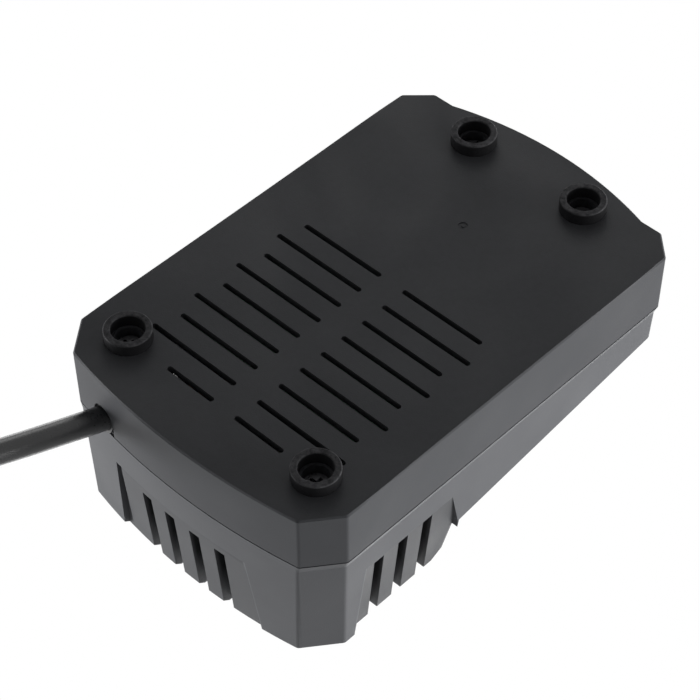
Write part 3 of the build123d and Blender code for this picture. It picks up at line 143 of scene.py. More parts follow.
def noise(tree, place, scale, detail, roughness=0.5, distortion=0.0):
    """A noise texture's outputs: first its value, then a colour."""
    values = {"Vector": place, "Scale": scale, "Detail": detail, "Roughness": roughness}
    return node(tree, "ShaderNodeTexNoise", {**values, "Distortion": distortion}).outputs


def spread(tree, value, low, high):
    """A noise value, taken from its usual range to another."""
    return remap(tree, value, NOISE_LOW, NOISE_HIGH, low, high)


print("noise is spread from", NOISE_LOW, "to", NOISE_HIGH)

# %% [markdown]
# ## Shared surface effects
# An effect that several finishes use is a node group: it is built once, and each finish places it
# with its own numbers. A group needs named sockets on both sides.

# %% Helpers for node groups
SOCKET_KINDS = {"colour": "NodeSocketColor", "value": "NodeSocketFloat", "vector": "NodeSocketVector"}


def new_group(name, inputs, outputs):
    """A shader node group with named sockets, and the sockets of its two ends."""
    group = bpy.data.node_groups.new(name, "ShaderNodeTree")
    for side, sockets in (("INPUT", inputs), ("OUTPUT", outputs)):
        for socket, kind in sockets.items():
            group.interface.new_socket(name=socket, in_out=side, socket_type=SOCKET_KINDS[kind])
    start = group.nodes.new("NodeGroupInput")
    end = group.nodes.new("NodeGroupOutput")
    return group, start.outputs, end.inputs


def give(tree, sources, targets):
    """Joins each source socket to the target of the same name."""
    for name, source in sources.items():
        tree.links.new(source, targets[name])


print("sockets of a group can be:", ", ".join(SOCKET_KINDS))

# %% [markdown]
# Injection-moulded plastic isn't smooth: the mould is spark-eroded, which leaves a fine, even
# grain. Its colour drifts a little where the melt flowed, and hands polish it in patches. One
# group holds these three effects, and every plastic below uses it with its own numbers. Noise on
# object coordinates is chosen over an image, since it has no seams and no fixed resolution.

# %% Moulded skin
FLOW_SCALE, HANDS_SCALE = 34.0, 14.0
HANDS_RANGE = (0.42, 0.68)
SPECK_SHADE, SPECK_ROUGHNESS = 0.6, 0.06
PIT_SHARE, GRAIN_SHARE = 0.6, 0.4


def make_moulded_skin():
    """Grain, drift of colour and patches of polish on moulded plastic."""
    numbers = dict.fromkeys(("Grain scale", "Mottle", "Roughness", "Polish"), "value")
    group, given, out = new_group(
        "moulded_skin",
        {"Colour": "colour", **numbers},
        {"Colour": "colour", "Roughness": "value", "Height": "value"},
    )
    place = object_place(group)
    grain = noise(group, place, given["Grain scale"], detail=3.0, roughness=0.62)[0]
    pit_values = {"Vector": place, "Scale": given["Grain scale"], "Randomness": 1.0}
    pits = node(group, "ShaderNodeTexVoronoi", pit_values).outputs["Distance"]
    flow = noise(group, place, FLOW_SCALE, detail=4.0, roughness=0.55, distortion=0.8)[0]
    hands = noise(group, place, HANDS_SCALE, detail=2.0, distortion=1.4)[0]
    drift = spread(group, flow, -1.0, 1.0)
    speck = spread(group, grain, -SPECK_SHADE, SPECK_SHADE)
    shade = maths(group, "MULTIPLY", maths(group, "ADD", drift, speck), given["Mottle"])
    colour = scale_vector(group, given["Colour"], maths(group, "ADD", 1.0, shade))
    rub = remap(group, hands, *HANDS_RANGE, 0.0, 1.0)
    rough = maths(group, "SUBTRACT", given["Roughness"], maths(group, "MULTIPLY", rub, given["Polish"]))
    rough = maths(group, "ADD", rough, maths(group, "MULTIPLY", speck, SPECK_ROUGHNESS), clamp=True)
    pit_height = maths(group, "MULTIPLY", pits, PIT_SHARE)
    height = maths(group, "ADD", pit_height, maths(group, "MULTIPLY", grain, GRAIN_SHARE))
    give(group, {"Colour": colour, "Roughness": rough, "Height": height}, out)
    return group


MOULDED_SKIN = make_moulded_skin()
print("group:", MOULDED_SKIN.name, "nodes:", len(MOULDED_SKIN.nodes))

# %% [markdown]
# Edges of a case catch light and pale first, because every shelf and hand rubs them. The edges
# that matter here all run round the case at known heights, so a mask by height finds them: it is
# 1 on the edge, fades over a band, and is broken up by noise so the rub looks uneven. The shader
# can find sharp edges by itself, but only on an even mesh, and a CAD mesh has long thin faces.

# %% Rubbed edge
BREAK_SCALE = 420.0
BREAK_RANGE = (0.35, 0.62)
LEAST_RUB = 0.25


def make_rubbed_edge():
    """A mask that is 1 at a height and fades above and below it."""
    group, given, out = new_group("rubbed_edge", {"Height": "value", "Band": "value"}, {"Mask": "value"})
    place = object_place(group)
    z = axes_of(group, place)[2]
    away = maths(group, "ABSOLUTE", maths(group, "SUBTRACT", z, given["Height"]))
    near = maths(group, "SUBTRACT", 1.0, maths(group, "DIVIDE", away, given["Band"]), clamp=True)
    patchy = noise(group, place, BREAK_SCALE, detail=5.0, roughness=0.7)[0]
    broken = remap(group, patchy, *BREAK_RANGE, LEAST_RUB, 1.0)
    give(group, {"Mask": maths(group, "MULTIPLY", near, broken, clamp=True)}, out)
    return group


RUBBED_EDGE = make_rubbed_edge()
print("group:", RUBBED_EDGE.name, "nodes:", len(RUBBED_EDGE.nodes))

# %% [markdown]
# Metal parts carry fine lines from drawing, stamping or polishing. The lines are noise stretched
# along one axis, so a vector input says how much each axis is squeezed. An anisotropic shader
# would give such a part its long highlights, but not the lines that are seen from near.

# %% Drawn lines
TARNISH_SCALE = 260.0
TARNISH_RANGE = (0.45, 0.75)
TARNISH_ROUGHNESS, LINE_ROUGHNESS = 0.12, 0.05


def squeeze_place(tree, place, squeeze):
    """A place with each axis multiplied by its own number."""
    return node(tree, "ShaderNodeVectorMath", {0: place, 1: squeeze}, operation="MULTIPLY").outputs[0]


def make_drawn_lines():
    """Fine lines along a metal part, with faint tarnish."""
    group, given, out = new_group(
        "drawn_lines",
        {"Squeeze": "vector", "Colour": "colour", "Contrast": "value", "Roughness": "value"},
        {"Colour": "colour", "Roughness": "value", "Height": "value"},
    )
    place = object_place(group)
    squeezed = squeeze_place(group, place, given["Squeeze"])
    lines = noise(group, squeezed, 1.0, detail=4.0, roughness=0.6)[0]
    streak = spread(group, lines, -1.0, 1.0)
    contrast = maths(group, "MULTIPLY", streak, given["Contrast"])
    colour = scale_vector(group, given["Colour"], maths(group, "ADD", 1.0, contrast))
    spots = noise(group, place, TARNISH_SCALE, detail=3.0)[0]
    tarnish = remap(group, spots, *TARNISH_RANGE, 0.0, TARNISH_ROUGHNESS)
    rough = maths(group, "ADD", given["Roughness"], maths(group, "MULTIPLY", streak, LINE_ROUGHNESS))
    rough = maths(group, "ADD", rough, tarnish, clamp=True)
    give(group, {"Colour": colour, "Roughness": rough, "Height": lines}, out)
    return group


DRAWN_LINES = make_drawn_lines()
print("group:", DRAWN_LINES.name, "nodes:", len(DRAWN_LINES.nodes))

# %% [markdown]
# Wound wire, stacked tape and woven strap all repeat evenly. A sine along one direction gives the
# rows. The squeeze sets that direction and the number of rows per metre, so one group serves the
# windings and the wrap. A wave texture could do it too, but its scale isn't in rows per metre.

# %% Even rows
ROW_MIDDLE = 0.6
UNEVEN_SCALE, UNEVEN_SHADE = 700.0, 0.08


def make_even_rows():
    """Rows of round wire, tape or weave, lighter on top and darker between."""
    group, given, out = new_group(
        "even_rows",
        {"Squeeze": "vector", "Colour": "colour", "Depth": "value"},
        {"Colour": "colour", "Height": "value"},
    )
    place = object_place(group)
    x, y, z = axes_of(group, squeeze_place(group, place, given["Squeeze"]))
    total = maths(group, "ADD", maths(group, "ADD", x, y), z)
    row = maths(group, "ABSOLUTE", maths(group, "SINE", maths(group, "MULTIPLY", total, pi)))
    uneven = noise(group, place, UNEVEN_SCALE, detail=2.0)[0]
    uneven = spread(group, uneven, -UNEVEN_SHADE, UNEVEN_SHADE)
    shade = maths(group, "MULTIPLY", maths(group, "SUBTRACT", row, ROW_MIDDLE), given["Depth"])
    shade = maths(group, "ADD", shade, uneven)
    colour = scale_vector(group, given["Colour"], maths(group, "ADD", 1.0, shade))
    give(group, {"Colour": colour, "Height": row}, out)
    return group


EVEN_ROWS = make_even_rows()
print("group:", EVEN_ROWS.name, "nodes:", len(EVEN_ROWS.nodes))

# %% [markdown]
# ## Finishes
# A material is the shader plus the effects it places. The uniform values, such as metallic and
# specular level, sit on the shader's own sockets, and only what changes over the surface comes
# out of a group.

# %% Material helpers
PLASTIC_RELIEF = dict(strength=0.5, depth=0.00005)
METAL_RELIEF = dict(strength=0.3, depth=0.00002)
finishes = {}


def new_material(name, **uniform):
    """A material with its shader's uniform values set, kept among the finishes."""
    made = bpy.data.materials.new(name)
    made.use_nodes = True
    shader = made.node_tree.nodes["Principled BSDF"]
    for key, value in uniform.items():
        shader.inputs[key.replace("_", " ")].default_value = value
    finishes[name] = made
    return made.node_tree, shader


def use_group(tree, group, values):
    """A shared effect placed in a material, as its output sockets."""
    return node(tree, "ShaderNodeGroup", values, node_tree=group).outputs


def relief(tree, shader, height, strength, depth):
    """Bump from a height, with its depth in metres."""
    values = {"Height": height, "Strength": strength, "Distance": depth}
    give(tree, {"Normal": node(tree, "ShaderNodeBump", values).outputs[0]}, shader.inputs)


def plastic(name, colour, roughness, grain=2400.0, mottle=0.06, polish=0.1, specular=0.3):
    """Moulded plastic or rubber."""
    tree, shader = new_material(name, Specular_IOR_Level=specular)
    values = {"Grain scale": grain, "Mottle": mottle, "Roughness": roughness, "Polish": polish}
    skin = use_group(tree, MOULDED_SKIN, {"Colour": (*colour, 1.0), **values})
    give(tree, {"Base Color": skin["Colour"], "Roughness": skin["Roughness"]}, shader.inputs)
    relief(tree, shader, skin["Height"], **PLASTIC_RELIEF)
    return tree, shader, skin


def metal(name, colour, squeeze, contrast, roughness):
    """Drawn, stamped or turned metal."""
    tree, shader = new_material(name, Metallic=1.0)
    values = {"Squeeze": squeeze, "Contrast": contrast, "Roughness": roughness}
    lines = use_group(tree, DRAWN_LINES, {"Colour": (*colour, 1.0), **values})
    give(tree, {"Base Color": lines["Colour"], "Roughness": lines["Roughness"]}, shader.inputs)
    relief(tree, shader, lines["Height"], **METAL_RELIEF)


print("groups to place:", [group.name for group in bpy.data.node_groups])

# %% [markdown]
# The recessed panels round the vents are painted darker than the frame round them, and the throats
# of the vents darker still: painted shade in the recesses. In the throats it fades out towards the
# top, where light falls in. A thin painted highlight runs along the slanted step at the end of each
# panel. All of it follows the shape: each panel is a sloping plane inside an outline, so its depth
# below that plane tells the panel's face from a throat. A mask painted by hand would do the same,
# but wouldn't follow a later change of these numbers.
#
# The lines of the outline lean as they rise. Each is a place at the height where the panels
# begin, and how far it moves for each metre above that.

# %% Planes and outlines of the recessed panels
PANEL_LOW, CASE_TOP = 0.0355, 0.0665
SIDE_FACE = (0.05116, -0.161)
SIDE_FRONT_ENDS = ((0.0220, -0.243), (0.0186, 0.0), (0.0160, 0.2035))
SIDE_REAR_END = (0.0572, 0.137)
REAR_FACE, REAR_FACE_BOW = (0.08042, -0.0891), 3.129
REAR_LEFT_END, REAR_RIGHT_END = (-0.0271, 0.0), (0.0250, 0.171)
LEAST_RISE = 0.0001
RECESS_DEPTHS = (-0.0020, 0.0045)
THROAT_DEPTHS = (0.0002, 0.0014)
# Heights over which the painted shade in the throats fades out towards the top, where light falls in.
THROAT_FADE = (0.050, 0.060)
STEP_DEPTHS = (-0.0060, 0.0006)
STEP_LINE = 0.00045


def all_of(tree, *masks):
    """The product of masks."""
    product = masks[0]
    for mask in masks[1:]:
        product = maths(tree, "MULTIPLY", product, mask)
    return product


def between(tree, value, low, high):
    """1 where a value lies between two others."""
    return all_of(tree, maths(tree, "GREATER_THAN", value, low), maths(tree, "LESS_THAN", value, high))


print("panels from z", PANEL_LOW, "to", CASE_TOP, "with throats from", THROAT_DEPTHS[0], "deep")

# %% [markdown]
# The group puts out two things: the shade that the plastic's colour is multiplied by, which is
# painted shade, and a mask for a painted highlight along the steps. Each test gives 0 or 1, and a
# product of tests is 1 only where all of them hold.

# %% Recess shade
def make_recess_shade():
    """Painted shade on the panels and throats, and a mask for a painted highlight along the steps."""
    group, given, out = new_group(
        "recess_shade",
        {"Side": "value", "Rear": "value", "Throat": "value"},
        {"Shade": "value", "Edge": "value"},
    )
    x, y, z = axes_of(group, object_place(group))
    rise = maths(group, "SUBTRACT", z, PANEL_LOW)

    def line(start, slope):
        """Where a leaning line is, at each height."""
        return maths(group, "ADD", start, maths(group, "MULTIPLY", rise, slope))

    side_depth = maths(group, "SUBTRACT", line(*SIDE_FACE), maths(group, "ABSOLUTE", x))
    bow = maths(group, "MULTIPLY", maths(group, "MULTIPLY", x, x), REAR_FACE_BOW)
    rear_depth = maths(group, "SUBTRACT", maths(group, "SUBTRACT", line(*REAR_FACE), bow), y)
    side = [maths(group, "GREATER_THAN", y, line(*end)) for end in SIDE_FRONT_ENDS]
    side = all_of(group, *side, maths(group, "LESS_THAN", y, line(*SIDE_REAR_END)))
    rear = between(group, x, line(*REAR_LEFT_END), line(*REAR_RIGHT_END))
    above = maths(group, "GREATER_THAN", rise, LEAST_RISE)
    height = all_of(group, above, maths(group, "LESS_THAN", z, CASE_TOP))
    # Painted shade in the throats: full low down, fading out towards the top.
    dark = maths(group, "MULTIPLY", remap(group, z, *THROAT_FADE, 1.0, 0.0), given["Throat"])
    shade = 1.0
    # Each panel's face and each throat is darkened: painted shade in the recesses.
    panels = ((side_depth, side, given["Side"]), (rear_depth, rear, given["Rear"]))
    for depth, window, panel in panels:
        recess = all_of(group, between(group, depth, *RECESS_DEPTHS), window, height)
        throat = all_of(group, remap(group, depth, *THROAT_DEPTHS, 0.0, 1.0), recess)
        face = maths(group, "SUBTRACT", recess, throat)
        shade = maths(group, "SUBTRACT", shade, maths(group, "MULTIPLY", face, panel))
        shade = maths(group, "SUBTRACT", shade, maths(group, "MULTIPLY", throat, dark))
    # A thin painted highlight along the slanted step at one end of each panel, where its edge catches
    # the light.
    steps = []
    for depth, value, end in ((side_depth, y, SIDE_REAR_END), (rear_depth, x, REAR_RIGHT_END)):
        away = maths(group, "ABSOLUTE", maths(group, "SUBTRACT", value, line(*end)))
        thin = maths(group, "SUBTRACT", 1.0, maths(group, "DIVIDE", away, STEP_LINE), clamp=True)
        steps.append(all_of(group, thin, between(group, depth, *STEP_DEPTHS), height))
    give(group, {"Shade": shade, "Edge": maths(group, "MAXIMUM", *steps)}, out)
    return group


RECESS_SHADE = make_recess_shade()
print("group:", RECESS_SHADE.name, "nodes:", len(RECESS_SHADE.nodes))

# %% [markdown]
# The two case mouldings are the surfaces everyone sees. Both are a dark grey engineering plastic
# with an even grain; the cover is the darker one. Their long edges are rubbed a little paler. The
# housing also gets painted shade in its recesses and a painted highlight along the steps of its
# panels. The pale colour for the worn edges and the painted highlight is worked out from the clean
# one, so a later change of grey keeps the two in step.

# %% Case plastics
COVER_GREY = (0.070, 0.072, 0.078)
HOUSING_GREY = (0.122, 0.125, 0.133)
COVER_EDGES = [(0.0042, 0.0005)]
HOUSING_EDGES = [(0.0247, 0.0004), (0.0632, 0.0006)]
# How much the panels and the throats are darkened: painted shade.
PAINTED_RECESS_SHADES = {"Side": 0.40, "Rear": 0.22, "Throat": 0.84}
WEAR_AND_HIGHLIGHT_GAIN, WEAR_AND_HIGHLIGHT_LIFT = 1.8, 0.02
# Strength of the painted highlight along the steps.
STEP_HIGHLIGHT = 0.6


def case_plastic(name, colour, edges, paler, recess=None):
    """Case moulding with rubbed edges at some heights and, where asked, painted shade in the recesses
    and a painted highlight along their steps.
    """
    tree, shader, skin = plastic(
        name, colour, mottle=0.05, roughness=0.58, polish=0.12, specular=0.16
    )
    mask = None
    for height, band in edges:
        edge = use_group(tree, RUBBED_EDGE, {"Height": height, "Band": band})["Mask"]
        mask = edge if mask is None else maths(tree, "MAXIMUM", mask, edge)
    # One pale colour serves both the worn edges and the painted highlight along the steps.
    wear_and_highlight = (*(min(1.0, WEAR_AND_HIGHLIGHT_GAIN * c + WEAR_AND_HIGHLIGHT_LIFT) for c in colour), 1.0)
    mixed = blend_colours(tree, maths(tree, "MULTIPLY", mask, paler), skin["Colour"], wear_and_highlight)
    # Painted shade in the recesses, then a painted highlight along the steps.
    if recess:
        shaded = use_group(tree, RECESS_SHADE, recess)
        mixed = scale_vector(tree, mixed, shaded["Shade"])
        mixed = blend_colours(tree, maths(tree, "MULTIPLY", shaded["Edge"], STEP_HIGHLIGHT), mixed, wear_and_highlight)
    give(tree, {"Base Color": mixed}, shader.inputs)


case_plastic("cover_plastic", COVER_GREY, COVER_EDGES, paler=0.14)
case_plastic("housing_plastic", HOUSING_GREY, HOUSING_EDGES, paler=0.16, recess=PAINTED_RECESS_SHADES)
print("case plastics:", COVER_GREY, HOUSING_GREY)

# %% [markdown]
# Nylon, filled plastics, the insulation of the leads and pressed ferrite differ in grain, gloss
# and shade more than in kind, so they share the moulded skin with other numbers. A network of its
# own for each would be more to keep in step, and look no better.

# %% Other moulded finishes
MOULDED = {
    "rail_plastic": dict(colour=(0.030, 0.030, 0.033), grain=1900.0, roughness=0.42, polish=0.16),
    "terminal_plastic": dict(colour=(0.020, 0.020, 0.022), grain=3200.0, roughness=0.60, mottle=0.14),
    "component_black": dict(colour=(0.022, 0.022, 0.024), grain=3000.0, roughness=0.50, mottle=0.10),
    "film_capacitor_case": dict(colour=(0.62, 0.53, 0.17), grain=1800.0, roughness=0.45, mottle=0.05),
    "header_plastic": dict(colour=(0.72, 0.69, 0.60), grain=1600.0, roughness=0.40, mottle=0.04),
    "fan_plastic": dict(colour=(0.026, 0.026, 0.028), grain=2000.0, roughness=0.46, polish=0.14),
    "plug_plastic": dict(colour=(0.036, 0.037, 0.040), grain=1700.0, roughness=0.52, polish=0.14),
    "lead_brown": dict(colour=(0.130, 0.050, 0.022), grain=1200.0, roughness=0.40, mottle=0.05),
    "lead_red": dict(colour=(0.450, 0.030, 0.022), grain=1200.0, roughness=0.38, mottle=0.05),
    "lead_grey": dict(colour=(0.300, 0.300, 0.310), grain=1200.0, roughness=0.40, mottle=0.05),
    "ferrite": dict(colour=(0.060, 0.060, 0.066), grain=900.0, roughness=0.70, mottle=0.16),
}
for name, numbers in MOULDED.items():
    plastic(name, **numbers)
print("moulded finishes:", len(MOULDED))

# %% [markdown]
# The ring feet are black rubber, but the face that stands on the bench is scuffed pale and dusty.
# The rubbed edge mask does this too: at height zero it covers the whole contact face and fades
# within half a millimetre up the wall. A second material on those faces would end in a hard line.

# %% Foot rubber
RUBBER_BLACK = (0.008, 0.008, 0.009)
CONTACT_GREY = (0.150, 0.150, 0.158, 1.0)
SCUFF_BAND = 0.0005


def make_foot_rubber():
    """Black rubber with a pale contact face."""
    numbers = dict(grain=1500.0, mottle=0.05, roughness=0.74, polish=0.05, specular=0.12)
    tree, shader, skin = plastic("foot_rubber", RUBBER_BLACK, **numbers)
    contact = use_group(tree, RUBBED_EDGE, {"Height": 0.0, "Band": SCUFF_BAND})["Mask"]
    colour = blend_colours(tree, contact, skin["Colour"], CONTACT_GREY)
    give(tree, {"Base Color": colour}, shader.inputs)


make_foot_rubber()
print("foot rubber scuffed up to", SCUFF_BAND * 1000, "mm")

# %% [markdown]
# Screws are zinc plated, but their colour is painted dark grey: painted shade, as down in the foot
# wells where they sit. Contacts are nickel-plated brass, the heatsinks are plain extruded aluminium
# and the fan turns on polished steel. The squeeze sets the direction of the lines left by the tool:
# they are stretched along the axes with the small numbers.

# %% Metals
SCREW_LINES, BLADE_LINES = (900.0, 900.0, 60.0), (90.0, 90.0, 1800.0)
HEATSINK_LINES, SHAFT_LINES = (120.0, 120.0, 1500.0), (1800.0, 60.0, 1800.0)
METALS = {
    # The screws' dark grey is painted shade, as deep in the foot wells; the plating itself is paler.
    "screw_steel": dict(colour=(0.12, 0.12, 0.125), squeeze=SCREW_LINES, contrast=0.10, roughness=0.30),
    "contact_metal": dict(colour=(0.60, 0.57, 0.50), squeeze=BLADE_LINES, contrast=0.08, roughness=0.28),
    "heatsink_aluminium": dict(
        colour=(0.72, 0.72, 0.73), squeeze=HEATSINK_LINES, contrast=0.06, roughness=0.36
    ),
    "shaft_steel": dict(colour=(0.62, 0.62, 0.63), squeeze=SHAFT_LINES, contrast=0.06, roughness=0.22),
}
for name, numbers in METALS.items():
    metal(name, **numbers)
print("metals:", len(METALS))

# %% [markdown]
# A plug's pins are bare metal at the tip and carry a black insulating neck at the plug, so that a
# half-drawn plug can't be touched live. A step along the pin switches between the two, for the
# colour, for metallic and for roughness alike.

# %% Pin metal with its insulated neck
PIN_NECK_END_Y = 0.2899
PIN_LINES = {
    "Squeeze": (1400.0, 60.0, 1400.0),
    "Colour": (0.54, 0.52, 0.48, 1.0),
    "Contrast": 0.08,
    "Roughness": 0.28,
}
NECK_BLACK, NECK_ROUGHNESS = (0.022, 0.022, 0.024, 1.0), 0.5


def make_pin_metal():
    """Bare metal beyond the neck, black nylon before it."""
    tree, shader = new_material("pin_metal")
    lines = use_group(tree, DRAWN_LINES, PIN_LINES)
    along = axes_of(tree, object_place(tree))[1]
    bare = maths(tree, "GREATER_THAN", along, PIN_NECK_END_Y)
    colour = blend_colours(tree, bare, NECK_BLACK, lines["Colour"])
    rough = remap(tree, bare, 0.0, 1.0, NECK_ROUGHNESS, 0.0)
    rough = maths(tree, "ADD", rough, maths(tree, "MULTIPLY", lines["Roughness"], bare))
    give(tree, {"Base Color": colour, "Metallic": bare, "Roughness": rough}, shader.inputs)
    relief(tree, shader, lines["Height"], strength=0.2, depth=0.00001)


make_pin_metal()
print("pins are bare from y", PIN_NECK_END_Y)

# %% [markdown]
# A copper winding has a row of wire every half millimetre or so, and the tape round it one every
# few millimetres. The wrap round the coiled cord is woven hook-and-loop tape, so it gets rows
# too, nearly as fine as the wire's, and matt. Modelled turns would look no different at this size.

# %% Rows of wire, tape and weave
PATCH_SCALE, PATCH_ROUGHNESS = 160.0, 0.08
WIRE_ROWS, TAPE_ROWS, WEAVE_ROWS = (0.0, 0.0, 1600.0), (0.0, 0.0, 250.0), (1300.0, 0.0, 0.0)
ROWS = {
    "copper_winding": dict(colour=(0.55, 0.21, 0.09), squeeze=WIRE_ROWS, depth=0.5, roughness=0.28),
    "winding_tape": dict(colour=(0.70, 0.52, 0.07), squeeze=TAPE_ROWS, depth=0.2, roughness=0.35),
    "tie_plastic": dict(
        colour=(0.020, 0.020, 0.021), squeeze=WEAVE_ROWS, depth=0.4, roughness=0.85, specular=0.15
    ),
}


def rows_of(name, colour, squeeze, depth, roughness, specular=0.4):
    """A finish of even rows."""
    tree, shader = new_material(name, Specular_IOR_Level=specular)
    rows = use_group(tree, EVEN_ROWS, {"Squeeze": squeeze, "Colour": (*colour, 1.0), "Depth": depth})
    patches = noise(tree, object_place(tree), PATCH_SCALE, detail=3.0)[0]
    rough = spread(tree, patches, roughness - PATCH_ROUGHNESS, roughness + PATCH_ROUGHNESS)
    give(tree, {"Base Color": rows["Colour"], "Roughness": rough}, shader.inputs)
    relief(tree, shader, rows["Height"], strength=0.6, depth=0.0002)


for name, numbers in ROWS.items():
    rows_of(name, **numbers)
print("finishes of rows:", len(ROWS))

# %% [markdown]
# Circuit boards are glass-fibre sheet under green lacquer. Copper tracks show as paler, slightly
# raised lanes: a brick pattern stands for them, with soft noise that bends it a little so that no
# two lanes match. Modelled tracks would be truer, but only glimpses of the boards are seen.

# %% Circuit board
LANES = {
    "Color1": (0.020, 0.150, 0.060, 1.0),
    "Color2": (0.024, 0.180, 0.075, 1.0),
    "Mortar": (0.012, 0.095, 0.038, 1.0),
    "Scale": 90.0,
    "Mortar Size": 0.03,
}
WOBBLE_SCALE, WOBBLE_SHARE = 60.0, 0.004
CLOTH_SCALE, CLOTH_ROUGHNESS = 1800.0, (0.26, 0.40)


def make_circuit_board():
    """Green lacquer over tracks and glass cloth."""
    tree, shader = new_material("circuit_board", Specular_IOR_Level=0.5)
    place = object_place(tree)
    wobble = noise(tree, place, WOBBLE_SCALE, detail=1.0)[1]
    bend = {0: WOBBLE_SHARE, 4: place, 5: wobble}
    bent = node(tree, "ShaderNodeMix", bend, data_type="VECTOR").outputs[1]
    lanes = node(tree, "ShaderNodeTexBrick", {"Vector": bent, **LANES}).outputs
    rough = spread(tree, noise(tree, place, CLOTH_SCALE, detail=2.0)[0], *CLOTH_ROUGHNESS)
    give(tree, {"Base Color": lanes["Color"], "Roughness": rough}, shader.inputs)
    relief(tree, shader, lanes["Fac"], strength=0.4, depth=0.00004)


make_circuit_board()
print("lanes: scale", LANES["Scale"], "bent by noise of scale", WOBBLE_SCALE)

# %% [markdown]
# The large capacitors wear a dark shrink sleeve with a pale stripe that marks one pole. The stripe
# runs straight up the can, so a test across it is enough, and no image has to be wrapped round.

# %% Capacitor sleeve
SLEEVE_BLUE, STRIPE_PALE = (0.016, 0.026, 0.075), (0.55, 0.56, 0.58, 1.0)
STRIPE_X, STRIPE_HALF = -0.031, 0.0016


def make_capacitor_sleeve():
    """Dark shrink sleeve with a pale polarity stripe up one side."""
    numbers = dict(grain=900.0, mottle=0.05, roughness=0.30, specular=0.5)
    tree, shader, skin = plastic("capacitor_sleeve", SLEEVE_BLUE, **numbers)
    x = axes_of(tree, object_place(tree))[0]
    away = maths(tree, "ABSOLUTE", maths(tree, "SUBTRACT", x, STRIPE_X))
    stripe = maths(tree, "LESS_THAN", away, STRIPE_HALF)
    colour = blend_colours(tree, stripe, skin["Colour"], STRIPE_PALE)
    give(tree, {"Base Color": colour}, shader.inputs)


make_capacitor_sleeve()
print("stripe width:", STRIPE_HALF * 2000, "mm")

# %% [markdown]
# The lens over the lamps is smoked plastic, the lamps are tinted plastic and the fuse is glass.
# All three let light through by the shader's transmission. Clean glass looks like nothing at
# all, so a faint haze changes its roughness and tint, as dust and mould marks do.

# %% Clear plastic and glass
HAZE_SCALE, HAZE_ROUGHNESS, HAZE_TINT = 300.0, 0.1, 0.92
CLEAR = {
    "lens_plastic": dict(colour=(0.16, 0.17, 0.17), roughness=0.18, transmission=0.45, ior=1.58),
    "led_plastic": dict(colour=(0.25, 0.70, 0.30), roughness=0.15, transmission=0.6, ior=1.5),
    "fuse_glass": dict(colour=(0.90, 0.94, 0.94), roughness=0.03, transmission=1.0, ior=1.5),
}


def clear_material(name, colour, roughness, transmission, ior):
    """Clear plastic or glass with a faint haze."""
    tree, shader = new_material(name, Transmission_Weight=transmission, IOR=ior)
    haze = noise(tree, object_place(tree), HAZE_SCALE, detail=4.0)[0]
    rough = spread(tree, haze, roughness, roughness + HAZE_ROUGHNESS)
    tint = blend_colours(tree, haze, (*colour, 1.0), (*(HAZE_TINT * c for c in colour), 1.0))
    give(tree, {"Base Color": tint, "Roughness": rough}, shader.inputs)
    relief(tree, shader, haze, strength=0.1, depth=0.00001)


for name, numbers in CLEAR.items():
    clear_material(name, **numbers)
print("clear finishes:", len(CLEAR))

# %% [markdown]
# The cord's sheath is soft plastic drawn through a die, so it is glossier than the case. It takes
# the moulded skin with a wider grain and more sheen, and gets soft dusty scuffs from being dragged
# over the floor. They are noise, because scuffs on a round cord have no edges to follow.

# %% Cord sheath
SHEATH_BLACK, DUST_GREY = (0.028, 0.029, 0.031), (0.09, 0.09, 0.095, 1.0)
SCUFF_SCALE, SCUFF_RANGE, MOST_DUST = 80.0, (0.55, 0.75), 0.25


def make_cord_sheath():
    """Soft black sheath with dusty scuffs."""
    numbers = dict(grain=1300.0, mottle=0.08, roughness=0.34, polish=0.12, specular=0.5)
    tree, shader, skin = plastic("cord_rubber", SHEATH_BLACK, **numbers)
    scuffs = noise(tree, object_place(tree), SCUFF_SCALE, detail=6.0, roughness=0.75)[0]
    dusty = remap(tree, scuffs, *SCUFF_RANGE, 0.0, MOST_DUST)
    colour = blend_colours(tree, dusty, skin["Colour"], DUST_GREY)
    give(tree, {"Base Color": colour}, shader.inputs)


make_cord_sheath()
print("finishes:", len(finishes))

# %% [markdown]
# Every CAD node takes the finish that the record names for it, so the list of finishes above and
# the record's material slots have to match one to one.

# %% Dress the CAD nodes
slot_of = {part["node"]: part["material_slot"] for part in frame["record"]["subparts"]}
for name, piece in frame["nodes"].items():
    piece.data.materials.clear()
    piece.data.materials.append(finishes[slot_of[name]])
print("dressed:", len(frame["nodes"]), "nodes with", len(set(slot_of.values())), "slots")

# %% [markdown]
# ## Mains cord
# The cord leaves the rear wall through its bushing, falls to the floor and runs into a neat coil,
# three turns wide and two layers high, as it is put away for storage. Its last turn climbs on top
# to the plug, which lies there. The points before and after the coil are the route's own, listed
# one by one, and the turns of the coil come from a loop. They are control points: the spline passes
# near them, so on the coil they stand a little outside the turns.

# %% Shape of the coil
CORD_D = 0.0076
COIL_MIDDLE = (0.0, 0.240)
COIL_ROWS_R = (0.0466, 0.0390, 0.0314)
COIL_STEP, COIL_END = 22.5, 1845
SHIFT_STARTS, SHIFT_TURN = (300, 660, 1350, 1710), 60
CLIMB_START, CLIMB_TURN = 1015, 60


def on_coil(angle, radius, z):
    """Point over the coil, by its angle from the side where the cord comes in."""
    x = COIL_MIDDLE[0] - radius * cos(radians(angle))
    y = COIL_MIDDLE[1] + radius * sin(radians(angle))
    return (x, y, z)


